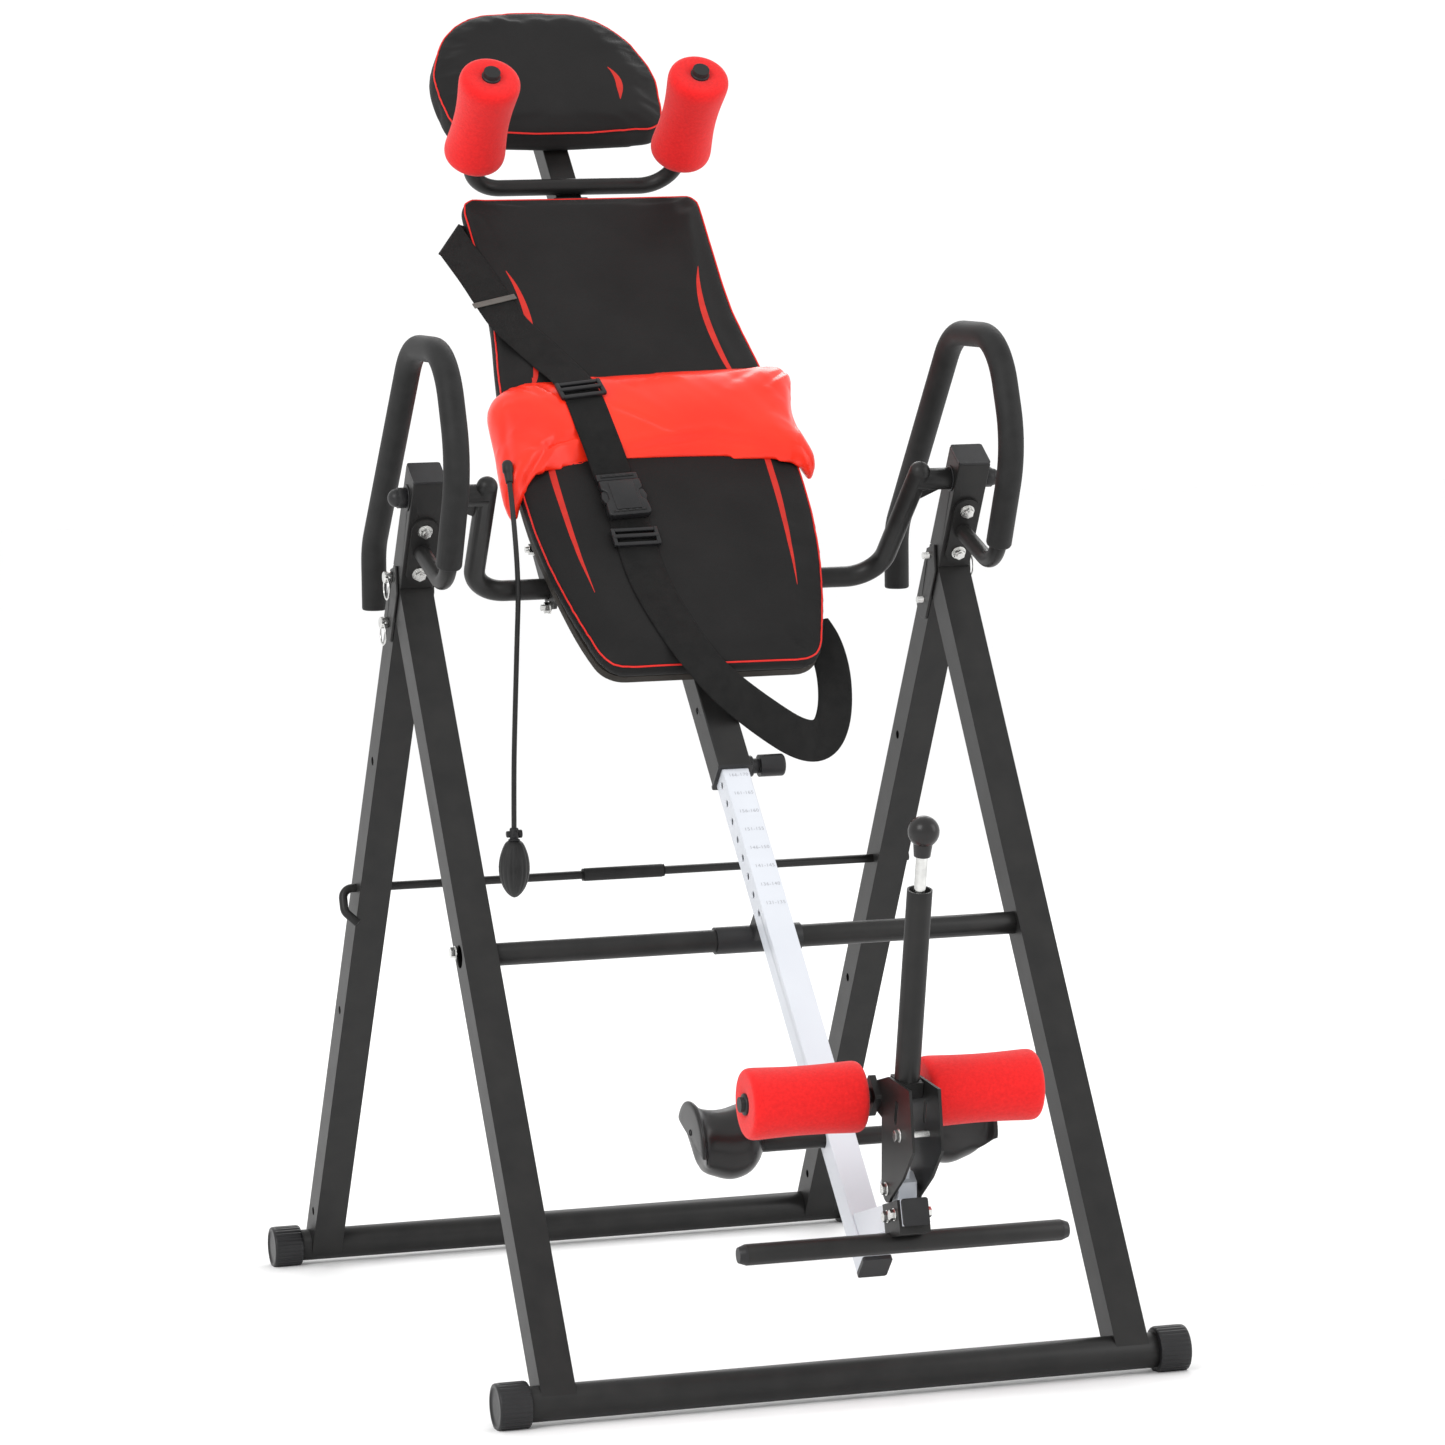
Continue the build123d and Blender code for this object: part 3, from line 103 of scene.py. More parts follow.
# ---------------------------------------------------------------- new objects
def linked(name, data):
    """A new object in the scene."""
    made = bpy.data.objects.new(name, data)
    bpy.context.scene.collection.objects.link(made)
    return made


def mesh_of(thing):
    """The mesh that an object's modifiers, curve or text make."""
    return bpy.data.meshes.new_from_object(thing.evaluated_get(bpy.context.evaluated_depsgraph_get()))


# ---------------------------------------------------------------- camera, floor and light
CAMERA_PLACE = (-1.734, -5.7203, 1.113)
CAMERA_YAW = math.radians(17.051)
CAMERA_PITCH = math.radians(4.056)
CAMERA_ROLL = math.radians(-1.589)
CAMERA_LENS = 132.36
LIGHT_AIM = (0, 0, 0.8)
FLOOR_REACH = 30


def add_camera():
    """The camera stands to the front left, a little above the middle, with a long lens."""
    level_forward = Vector((math.sin(CAMERA_YAW), math.cos(CAMERA_YAW), 0))
    forward = level_forward * math.cos(CAMERA_PITCH) - Vector((0, 0, math.sin(CAMERA_PITCH)))
    level = Vector((math.cos(CAMERA_YAW), -math.sin(CAMERA_YAW), 0))
    above = level.cross(forward)
    right = level * math.cos(CAMERA_ROLL) + above * math.sin(CAMERA_ROLL)
    above = above * math.cos(CAMERA_ROLL) - level * math.sin(CAMERA_ROLL)
    data = bpy.data.cameras.new("camera")
    data.lens = CAMERA_LENS
    data.sensor_width = 36
    camera = linked("camera", data)
    turned = Matrix((right, above, -forward)).transposed().to_4x4()
    camera.matrix_world = Matrix.Translation(CAMERA_PLACE) @ turned
    bpy.context.scene.camera = camera


def add_light(name, place, size, power):
    """A soft rectangular lamp that faces the object."""
    data = bpy.data.lights.new(name, "AREA")
    data.shape = "RECTANGLE"
    data.size = size[0]
    data.size_y = size[1]
    data.energy = power
    lamp = linked(name, data)
    lamp.location = place
    lamp.rotation_euler = (Vector(LIGHT_AIM) - Vector(place)).to_track_quat("-Z", "Y").to_euler()


def add_studio():
    """An even white world, three lamps and a pale floor."""
    world = bpy.data.worlds.new("studio")
    world.use_nodes = True
    background = world.node_tree.nodes["Background"]
    background.inputs["Color"].default_value = (1, 1, 1, 1)
    background.inputs["Strength"].default_value = 1.07
    bpy.context.scene.world = world
    add_light("key", (-3.4, -3.2, 3.6), (2.4, 2.4), 110)
    add_light("fill", (4.0, -2.4, 2.2), (2.0, 3.0), 45)
    add_light("back", (1.5, 4.0, 3.5), (3.0, 2.0), 60)
    data = bpy.data.meshes.new("floor")
    far = FLOOR_REACH
    data.from_pydata([(-far, -far, 0), (far, -far, 0), (far, far, 0), (-far, far, 0)], [], [(0, 1, 2, 3)])
    floor = linked("floor", data)
    white = surface("floor_white", (0.93, 0.93, 0.93), (0.95, 0.95, 0.95), 0.8, 40, 0.0, specular=0.2)
    data.materials.append(white)
    bpy.context.scene.view_settings.view_transform = "Standard"


# ---------------------------------------------------------------- materials
def surface(name, dark, light, rough, grain, bump, metallic=0.0, sheen=0.0, coat=0.0,
            mottle=9.0, cells=False, spread=0.06, stretch=(1, 1, 1), depth=0.0004, specular=0.5):
    """A procedural finish: mottled colour, roughness that varies a little, and a fine grain in relief."""
    made = bpy.data.materials.new(name)
    made.use_nodes = True
    nodes = made.node_tree.nodes
    link = made.node_tree.links.new
    shader = nodes["Principled BSDF"]
    shader.inputs["Metallic"].default_value = metallic
    shader.inputs["Sheen Weight"].default_value = sheen
    shader.inputs["Sheen Roughness"].default_value = 0.5
    shader.inputs["Coat Weight"].default_value = coat
    shader.inputs["Coat Roughness"].default_value = 0.15
    shader.inputs["Specular IOR Level"].default_value = specular
    place = nodes.new("ShaderNodeTexCoord")
    scaled = nodes.new("ShaderNodeMapping")
    scaled.inputs["Scale"].default_value = stretch
    link(place.outputs["Object"], scaled.inputs["Vector"])
    broad = nodes.new("ShaderNodeTexNoise")
    broad.inputs["Scale"].default_value = mottle
    broad.inputs["Detail"].default_value = 5
    link(scaled.outputs["Vector"], broad.inputs["Vector"])
    colours = nodes.new("ShaderNodeValToRGB")
    colours.color_ramp.elements[0].position = 0.3
    colours.color_ramp.elements[0].color = (*dark, 1)
    colours.color_ramp.elements[1].position = 0.7
    colours.color_ramp.elements[1].color = (*light, 1)
    link(broad.outputs["Fac"], colours.inputs["Fac"])
    link(colours.outputs["Color"], shader.inputs["Base Color"])
    levels = nodes.new("ShaderNodeMapRange")
    levels.inputs["To Min"].default_value = max(rough - spread, 0.02)
    levels.inputs["To Max"].default_value = min(rough + spread, 1.0)
    link(broad.outputs["Fac"], levels.inputs["Value"])
    link(levels.outputs["Result"], shader.inputs["Roughness"])
    if bump:
        fine = nodes.new("ShaderNodeTexVoronoi" if cells else "ShaderNodeTexNoise")
        fine.inputs["Scale"].default_value = grain
        link(scaled.outputs["Vector"], fine.inputs["Vector"])
        relief = nodes.new("ShaderNodeBump")
        relief.inputs["Strength"].default_value = bump
        relief.inputs["Distance"].default_value = depth
        link(fine.outputs["Distance" if cells else "Fac"], relief.inputs["Height"])
        link(relief.outputs["Normal"], shader.inputs["Normal"])
    return made


def webbing(name):
    """Ribbed black webbing: fine ribs across the strap and a twill along it, from the ribbon's own UV."""
    made = surface(name, (0.006, 0.006, 0.006), (0.017, 0.0165, 0.016), 0.7, 900, 0.0, mottle=60,
                   specular=0.3)
    nodes = made.node_tree.nodes
    link = made.node_tree.links.new
    uv = nodes.new("ShaderNodeUVMap")
    uv.uv_map = "UVMap"
    ribs = nodes.new("ShaderNodeTexWave")
    ribs.inputs["Scale"].default_value = 130
    ribs.inputs["Distortion"].default_value = 0.6
    ribs.inputs["Detail"].default_value = 1
    ribs.bands_direction = "Y"
    threads = nodes.new("ShaderNodeTexWave")
    threads.inputs["Scale"].default_value = 190
    threads.inputs["Distortion"].default_value = 0.8
    link(uv.outputs["UV"], ribs.inputs["Vector"])
    link(uv.outputs["UV"], threads.inputs["Vector"])
    both = nodes.new("ShaderNodeMath")
    both.operation = "MULTIPLY_ADD"
    both.inputs[1].default_value = 0.35
    link(threads.outputs["Fac"], both.inputs[0])
    link(ribs.outputs["Fac"], both.inputs[2])
    relief = nodes.new("ShaderNodeBump")
    relief.inputs["Strength"].default_value = 1.0
    relief.inputs["Distance"].default_value = 0.0009
    link(both.outputs["Value"], relief.inputs["Height"])
    link(relief.outputs["Normal"], nodes["Principled BSDF"].inputs["Normal"])
    return made


POWDER = surface("powder_black", (0.009, 0.009, 0.009), (0.015, 0.0145, 0.014), 0.42, 1500, 0.12, mottle=30,
                 specular=0.28)
WHITE = surface("powder_white", (0.58, 0.605, 0.65), (0.63, 0.655, 0.7), 0.34, 1500, 0.08, mottle=8,
                specular=0.4)
ZINC = surface("zinc", (0.55, 0.55, 0.54), (0.75, 0.75, 0.73), 0.24, 800, 0.1, metallic=1.0, mottle=90)
PLASTIC = surface("moulded_black", (0.008, 0.008, 0.009), (0.014, 0.014, 0.015), 0.4, 2200, 0.15, mottle=40,
                  specular=0.35)
SATIN = surface("satin_black", (0.008, 0.0075, 0.0075), (0.013, 0.012, 0.012), 0.3, 2500, 0.06, mottle=20,
                specular=0.35)
GRIP = surface("grip_foam", (0.008, 0.008, 0.008), (0.015, 0.015, 0.015), 0.6, 2600, 0.25, mottle=50,
               specular=0.25)
RED_FOAM = surface("red_foam", (0.66, 0.0065, 0.0075), (0.78, 0.012, 0.012), 0.85, 1300, 0.55, sheen=0.15,
                   mottle=300, cells=True, depth=0.0006, specular=0.25)
VINYL = surface("pad_vinyl", (0.007, 0.0068, 0.0068), (0.0115, 0.011, 0.011), 0.62, 1100, 0.3,
                mottle=14, cells=True, specular=0.18)
RED_VINYL = surface("pillow_vinyl", (0.86, 0.022, 0.007), (0.97, 0.034, 0.011), 0.3, 1400, 0.08, coat=0.06,
                    mottle=12, spread=0.05, specular=0.3)
PIPING = surface("red_piping", (0.62, 0.015, 0.01), (0.72, 0.02, 0.015), 0.45, 2500, 0.2, mottle=80,
                 specular=0.3)
PRINT = surface("red_print", (0.46, 0.018, 0.011), (0.56, 0.024, 0.015), 0.55, 1100, 0.25,
                mottle=60, cells=True, specular=0.25)
BOARD = surface("board", (0.02, 0.017, 0.014), (0.035, 0.03, 0.025), 0.7, 300, 0.2, mottle=30,
                stretch=(1, 0.1, 1), specular=0.3)
RUBBER = surface("hose_rubber", (0.010, 0.010, 0.010), (0.017, 0.017, 0.017), 0.48, 1800, 0.12, mottle=60,
                 specular=0.35)
INK = surface("grey_ink", (0.33, 0.34, 0.37), (0.38, 0.39, 0.42), 0.6, 900, 0.05)
CLIP = surface("dull_bar", (0.075, 0.066, 0.06), (0.11, 0.1, 0.09), 0.5, 900, 0.1, mottle=50)
WEBBING = webbing("webbing_black")
POWDER_NODES = [
    "front_base_tube", "rear_base_tube", "front_leg_left", "front_leg_right", "head_left", "head_right",
    "rear_leg_left", "rear_leg_right", "hinge_plates", "crossbar", "handle_left", "handle_right",
    "pivot_arm_left", "pivot_arm_right", "main_tube", "pad_brackets", "headrest_post", "foot_bar",
    "ankle_lever", "heel_bar", "shoulder_tube", "angle_rod",
]
ZINC_NODES = [
    "frame_bolts", "hinge_pins", "lock_pin_left", "lock_pin_right", "pivot_axles", "pad_bolts",
    "boom_bolts", "lever_bolts", "release_rod", "height_pin_plunger",
]
PLASTIC_NODES = [
    "front_end_caps", "rear_base_caps", "axle_caps", "main_tube_collars", "height_knob", "boom_plugs",
    "crossbar_sleeve", "height_pin_housing", "pivot_bushes",
]


def finish_cad_nodes():
    """Materials for the CAD parts that show, and a small worn radius on their edges."""
    finishes = [(POWDER_NODES, POWDER, 1.2), (ZINC_NODES, ZINC, 0.4), (PLASTIC_NODES, PLASTIC, 0.6)]
    finishes += [(["boom", "ankle_support"], WHITE, 0.8), (["handle_grips", "angle_rod_sleeve"], GRIP, 2.5)]
    finishes += [(["back_board"], BOARD, 1.0), (["lever_knob"], SATIN, 0.8)]
    for nodes, finish, radius in finishes:
        for name in nodes:
            piece = frame["nodes"][name]
            piece.data.materials.clear()
            piece.data.materials.append(finish)
            weld = piece.modifiers.new("weld", "WELD")
            weld.merge_threshold = 0.00002
            soften = piece.modifiers.new("soften", "BEVEL")
            soften.width = radius * MM
            soften.segments = 2
            soften.limit_method = "ANGLE"
            soften.angle_limit = math.radians(40)
            soften.use_clamp_overlap = True
            soften.harden_normals = True


# ---------------------------------------------------------------- mesh helpers
def new_piece(name, verts, faces, finish, body):
    """A mesh object that rides a body."""
    data = bpy.data.meshes.new(name)
    data.from_pydata([tuple(v) for v in verts], [], faces)
    data.materials.append(finish)
    for face in data.polygons:
        face.use_smooth = True
    piece = linked(name, data)
    if body:
        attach(piece, body)
    return piece


def apply_modifiers(piece):
    """Replaces the piece's mesh with what its modifiers make of it."""
    made = mesh_of(piece)
    piece.modifiers.clear()
    piece.data = made
    for face in made.polygons:
        face.use_smooth = True


def subdivide(piece):
    """Smooths the piece's mesh by one subdivision, after its other modifiers."""
    finer = piece.modifiers.new("finer", "SUBSURF")
    finer.levels = 1
    apply_modifiers(piece)


def outward(piece):
    """Turns every face of a closed mesh outwards."""
    shape = bmesh.new()
    shape.from_mesh(piece.data)
    bmesh.ops.remove_doubles(shape, verts=shape.verts, dist=0.00005)
    bmesh.ops.recalc_face_normals(shape, faces=shape.faces)
    shape.to_mesh(piece.data)
    shape.free()


CORNER_CUTS = 3


def rounded_loop(corners):
    """Cuts the corners of a closed polygon until it is smooth."""
    loop = [Vector(c) for c in corners]
    for _ in range(CORNER_CUTS):
        cut = []
        for here, following in zip(loop, loop[1:] + loop[:1]):
            cut.append(here.lerp(following, 0.25))
            cut.append(here.lerp(following, 0.75))
        loop = cut
    return loop


def rounded_line(points):
    """Cuts the corners of an open line until it is smooth, and keeps its two ends."""
    line = [Vector(p) for p in points]
    for _ in range(CORNER_CUTS):
        cut = [line[0]]
        for here, following in zip(line, line[1:]):
            cut.append(here.lerp(following, 0.25))
            cut.append(here.lerp(following, 0.75))
        cut.append(line[-1])
        line = cut
    return line


def even_line(line, gap, closed=False):
    """Points at even gaps along a line."""
    points = line + line[:1] if closed else line
    total = sum((b - a).length for a, b in zip(points, points[1:]))
    count = max(int(round(total / gap)), 2)
    step = total / count
    made = [points[0].copy()]
    left = step
    for a, b in zip(points, points[1:]):
        run = (b - a).length
        at = left
        while at <= run + 1e-9 and len(made) <= count:
            made.append(a.lerp(b, at / run if run else 0))
            at += step
        left = at - run
    return made[:-1] if closed else made


def ring_faces(rings, count):
    """Quads between closed rings of points, listed ring by ring."""
    faces = []
    for r in range(rings - 1):
        for k in range(count):
            a, b = r * count + k, r * count + (k + 1) % count
            faces.append((a, b, b + count, a + count))
    return faces


def strip_faces(rows, columns):
    """Quads of an open sheet of points, listed row by row."""
    faces = []
    for i in range(rows - 1):
        for j in range(columns - 1):
            a = i * columns + j
            faces.append((a, a + 1, a + columns + 1, a + columns))
    return faces


def turned_faces(around, rows):
    """Quads of a turned piece, whose points are listed profile by profile."""
    faces = []
    for k in range(around):
        following = (k + 1) % around
        for i in range(rows - 1):
            a, b = k * rows + i, following * rows + i
            faces.append((a, b, b + 1, a + 1))
    return faces


def spun(name, profile, origin, axis, finish, body, steps):
    """A turned piece: profile is a list of (along the axis, radius) in millimetres, from end to end."""
    axis = Vector(axis).normalized()
    side = axis.orthogonal().normalized()
    other = axis.cross(side)
    verts = []
    for k in range(steps):
        angle = math.radians(360 * k / steps)
        ray = side * math.cos(angle) + other * math.sin(angle)
        verts += [origin + axis * along * MM + ray * radius * MM for along, radius in profile]
    piece = new_piece(name, verts, turned_faces(steps, len(profile)), finish, body)
    outward(piece)
    return piece


def tube(name, line, radius, finish, body, sides, closed=False):
    """A round tube along points of the part's frame."""
    data = bpy.data.curves.new(name + "_line", "CURVE")
    data.dimensions = "3D"
    data.bevel_depth = radius
    data.bevel_resolution = max(sides // 4, 1)
    data.use_fill_caps = True
    spline = data.splines.new("POLY")
    spline.points.add(len(line) - 1)
    for point, place in zip(spline.points, line):
        point.co = (*place, 1)
    spline.use_cyclic_u = closed
    curve = linked(name + "_line", data)
    mesh = mesh_of(curve)
    bpy.data.objects.remove(curve)
    bpy.data.curves.remove(data)
    piece = linked(name, mesh)
    mesh.materials.append(finish)
    for face in mesh.polygons:
        face.use_smooth = True
    if body:
        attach(piece, body)
    return piece


def tree(piece):
    """A search tree of a piece's faces, in the part's frame."""
    verts = [piece.matrix_world @ v.co for v in piece.data.vertices]
    return BVHTree.FromPolygons(verts, [tuple(f.vertices) for f in piece.data.polygons])


# ---------------------------------------------------------------- padded parts
CLOTH_VOXEL = 4.5
CLOTH_STEPS = 20


def cushion(name, loop, spine, levels, place, finish, puff, held, pressure=4.0):
    """A stuffed form: rings of an outline at several heights, filled, inflated as cloth and smoothed.

    spine(point) is the point of the middle line that an outline point closes towards, levels are
    (inset, height) pairs from the back to the front, and held(point) says which points stay put.
    """
    rings = []
    closing = (0.25, 0.5, 0.75, 1.0)
    _, first_height = levels[0]
    for share in reversed(closing):
        rings.append([(p.lerp(spine(p), share), first_height) for p in loop])
    for inset, height in levels:
        ring = []
        for p in loop:
            inward = spine(p) - p
            ring.append((p + inward.normalized() * min(inset, inward.length), height))
        rings.append(ring)
    last_inset, last_height = levels[-1]
    for share in closing:
        ring = []
        for p in loop:
            inward = spine(p) - p
            ring.append((p.lerp(spine(p), max(share, last_inset / inward.length)), last_height))
        rings.append(ring)
    verts = [place(p.x, p.y, height) for ring in rings for p, height in ring]
    piece = new_piece(name, verts, ring_faces(len(rings), len(loop)), finish, None)
    outward(piece)
    remesh = piece.modifiers.new("remesh", "REMESH")
    remesh.mode = "VOXEL"
    remesh.voxel_size = CLOTH_VOXEL * MM
    ease = piece.modifiers.new("ease", "SMOOTH")
    ease.factor = 0.5
    ease.iterations = 6
    apply_modifiers(piece)
    inflate(piece, puff, held, pressure)
    subdivide(piece)
    return piece


def inflate(piece, puff, held, pressure):
    """Blows the piece up as cloth, and keeps each point within puff of where it was."""
    before = [v.co.copy() for v in piece.data.vertices]
    fixed = [held(in_bed(co)) for co in before]
    pins = piece.vertex_groups.new(name="pins")
    pins.add([i for i, stay in enumerate(fixed) if stay], 1.0, "REPLACE")
    cloth = piece.modifiers.new("cloth", "CLOTH")
    cloth.settings.use_pressure = True
    cloth.settings.uniform_pressure_force = pressure
    cloth.settings.vertex_group_mass = "pins"
    cloth.settings.effector_weights.gravity = 0
    cloth.settings.tension_stiffness = 15
    cloth.settings.bending_stiffness = 0.4
    cloth.collision_settings.use_collision = False
    cloth.point_cache.frame_start = 1
    cloth.point_cache.frame_end = CLOTH_STEPS
    scene = bpy.context.scene
    for step in range(1, CLOTH_STEPS + 1):
        scene.frame_set(step)
    depsgraph = bpy.context.evaluated_depsgraph_get()
    after = [v.co.copy() for v in piece.evaluated_get(depsgraph).data.vertices]
    piece.modifiers.clear()
    piece.vertex_groups.clear()
    scene.frame_set(1)
    limit = puff * MM
    for vertex, old, new, stay in zip(piece.data.vertices, before, after, fixed):
        moved = new - old
        if stay or not all(math.isfinite(c) for c in moved):
            moved = Vector((0, 0, 0))
        if moved.length > limit:
            moved = moved.normalized() * limit
        vertex.co = old + moved
    settle = piece.modifiers.new("settle", "SMOOTH")
    settle.factor = 0.4
    settle.iterations = 3
    apply_modifiers(piece)


PAD_HALF = [
    (0, 581), (104, 581), (150, 581), (150, 534), (149, 470), (149, 400), (155, 345), (164, 290), (169, 215),
    (172, 137), (172, 69), (167, 12), (157, -48), (145, -98), (126, -164), (82, -164), (0, -164),
]
HEAD_HALF = [
    (0, 910), (70, 905), (118, 866), (144, 800), (143, 752), (134, 694), (90, 690), (0, 684),
]


def mirrored(half):
    """A closed outline from its right half, which runs from top to bottom."""
    left = [(-x, s) for x, s in reversed(half) if x]
    return [(x, s, 0) for x, s in half + left]


def pad_loop():
    """The back pad's outline."""
    return even_line(rounded_loop(mirrored(PAD_HALF)), 6.0, closed=True)


def head_loop():
    """The head pad's outline."""
    return even_line(rounded_loop(mirrored(HEAD_HALF)), 5.0, closed=True)


def back_pad():
    """The long pad: foam under grained vinyl, crowned a little, on its board."""
    levels = [(3, -134.6), (0.5, -132), (0, -124), (0, -116), (2, -112.5), (7, -110.8), (16, -110)]
    pad = cushion(
        "back_pad_vinyl", pad_loop(), lambda p: Vector((0, min(max(p.y, -70), 480), 0)), levels, bed,
        VINYL, 3.0, lambda p: p.z < -119,
    )
    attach(pad, "bed")
    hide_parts("back_pad")
    return pad


def head_pad():
    """The head pad: a thick half-round cushion with a seam round its front and back."""
    levels = [(9, -147.2), (3, -145), (0, -139), (0, -118), (2, -113), (8, -109.5), (18, -108)]
    pad = cushion(
        "head_pad_vinyl", head_loop(), lambda p: Vector((p.x * 0.35, 780, 0)), levels, bed,
        VINYL, 3.5, lambda p: p.z < -143,
    )
    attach(pad, "head_rest")
    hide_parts("head_pad")
    return pad


def seam(name, pad, loop, t, radius, body):
    """Piping round a pad: it follows the outline at one height and lies on the skin."""
    skin = tree(pad)
    line = []
    for p in loop:
        hit, normal, _, _ = skin.find_nearest(bed(p.x, p.y, t))
        line.append(hit + normal * radius * 0.35)
    return tube(name, line, radius, PIPING, body, sides=8, closed=True)


PILLOW_LOOP = [
    (-196, 110), (-194, 170), (-192, 232), (-184, 252), (-150, 266), (-90, 274), (20, 280), (120, 282),
    (180, 286), (190, 288), (190, 280), (184, 230), (186, 170), (190, 140), (190, 128), (182, 126),
    (120, 132), (50, 142), (-30, 142), (-82, 140), (-130, 126), (-156, 118), (-172, 92), (-186, 84),
    (-196, 88),
]


def round_edge(x, s, t):
    """The pillow's cloth, laid flat over the pad and bent back round its two edges."""
    beyond = max(abs(x) - BED_SIDE_X, 0)
    height = t - PAD_FACE
    if not beyond:
        return bed(x, s, t)
    side = math.copysign(1, x)
    angle = min(beyond / PILLOW_BEND, math.radians(70))
    left = beyond - angle * PILLOW_BEND
    reach = BED_SIDE_X + (PILLOW_BEND + height) * math.sin(angle) + left * math.cos(angle)
    depth = PAD_FACE - PILLOW_BEND + (PILLOW_BEND + height) * math.cos(angle) - left * math.sin(angle)
    return bed(side * reach, s, depth)


def lumbar_pillow():
    """The air pillow: glossy vinyl, blown up between the strap's pull and the pad, welded at its rim."""
    loop = even_line(rounded_loop([(x, s, 0) for x, s in PILLOW_LOOP]), 6.0, closed=True)
    levels = [(3, -109.4), (0, -108), (0, -106.6), (5, -102), (14, -95), (26, -89), (40, -86)]
    pillow = cushion(
        "lumbar_pillow_vinyl", loop, lambda p: Vector((min(max(p.x, -130), 130), 192, 0)), levels,
        round_edge, RED_VINYL, 9.0, lambda p: p.z < -107.5 and abs(p.x) < 160, pressure=5.0,
    )
    crease(pillow)
    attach(pillow, "bed")
    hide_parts("lumbar_pillow")
    return pillow


PILLOW_FOLDS = [
    ((-72, 176), (-150, 150), 3.2), ((-40, 150), (70, 162), 3.6), ((60, 160), (130, 146), 2.4),
    ((186, 276), (150, 236), 3.4), ((182, 240), (168, 160), 2.6), ((-172, 214), (-182, 130), 2.8),
    ((-120, 168), (-168, 110), 3.0), ((-150, 262), (-128, 226), 2.2), ((20, 168), (-44, 206), 2.0),
]
PILLOW_TIPS = [((184, 284), (9, 10)), ((184, 130), (9, -7)), ((-186, 92), (-2, -9))]


def crease(pillow):
    """Folds of the pillow: sharp ones from under the strap and at its corners, and soft ones all over."""
    for vertex in pillow.data.vertices:
        x, s, t = in_bed(vertex.co)
        for (tip_x, tip_s), (pull_x, pull_s) in PILLOW_TIPS:
            near = math.exp(-((x - tip_x) ** 2 + (s - tip_s) ** 2) / 26**2)
            vertex.co += (ACROSS * pull_x + UP * pull_s) * near * MM
        if t < -107 and abs(x) < 150:
            continue
        near = math.exp(-((x + 95) / 70) ** 2)
        fold = noise.noise(Vector((x * 0.012 + s * 0.018, s * 0.008 - x * 0.004, 3.1)))
        fine = noise.noise(Vector((x * 0.045 + s * 0.03, s * 0.02, 8.7)))
        pressed = -4.0 * math.exp(-((x + 76 + (200 - s) * -0.12) / 32) ** 2) * (t > -104)
        lift = fold * 4.5 * (0.35 + near) + fine * 0.9 + pressed
        for start, end, depth in PILLOW_FOLDS:
            lift += fold_depth(Vector((x, s)), Vector(start), Vector(end), depth)
        vertex.co += OUT * lift * MM


def fold_depth(point, start, end, depth):
    """The height that one fold adds at a point: a sharp valley with a soft ridge on one side."""
    run = end - start
    share = min(max((point - start).dot(run) / run.length_squared, 0), 1)
    away = point - (start + run * share)
    side = 1 if run.x * away.y - run.y * away.x > 0 else -1
    across = side * away.length
    taper = math.sin(math.pi * min(max(0.12 + 0.8 * share, 0), 1))
    valley = -math.exp(-(across / 4.0) ** 2)
    ridge = 0.8 * math.exp(-((across - 8) / 6.5) ** 2)
    return depth * taper * (valley + ridge)


# ---------------------------------------------------------------- printed stripes
STRIPE_SHARES = (-0.5, -0.17, 0.17, 0.5)
STRIPES = {
    "outer": [(119, 452, 0.6), (112, 424, 5), (108, 382, 8), (110, 334, 8), (117, 281, 6), (126, 262, 4)],
    "inner": [(122, 276, 4), (129, 205, 6), (131, 130, 8), (130, 66, 7), (126, -2, 4.5), (120, -57, 0.6)],
}


def stripe(name, pad_tree, points, mirror, body):
    """A tapering printed stripe that lies on the pad's skin."""
    middle_line = [Vector((x * mirror, s, width)) for x, s, width in points]
    line = even_line(rounded_line(middle_line), 5.0)
    verts = []
    for i, p in enumerate(line):
        before = line[max(i - 1, 0)]
        after = line[min(i + 1, len(line) - 1)]
        along = Vector((after.x - before.x, after.y - before.y, 0)).normalized()
        aside = Vector((along.y, -along.x, 0))
        for share in STRIPE_SHARES:
            at = Vector((p.x, p.y, 0)) + aside * p.z * share
            hit, _, _, _ = pad_tree.ray_cast(bed(at.x, at.y, 0), -OUT)
            verts.append((hit if hit else bed(at.x, at.y, PAD_FACE)) + OUT * 0.00025)
    new_piece(name, verts, strip_faces(len(line), len(STRIPE_SHARES)), PRINT, body)


def stripes(pad):
    """Two stripes down each side of the back pad."""
    skin = tree(pad)
    for kind, points in STRIPES.items():
        for mirror, side in ((1, "right"), (-1, "left")):
            stripe(f"stripe_{kind}_{side}", skin, points, mirror, "bed")


def head_mark(pad):
    """The small printed crescent on the head pad."""
    skin = tree(pad)
    points = [(80, 794, 0.6), (85, 786, 4), (89, 772, 8), (88, 757, 8.5), (86, 746, 4), (84, 737, 0.6)]
    stripe("head_mark", skin, points, 1, "head_rest")


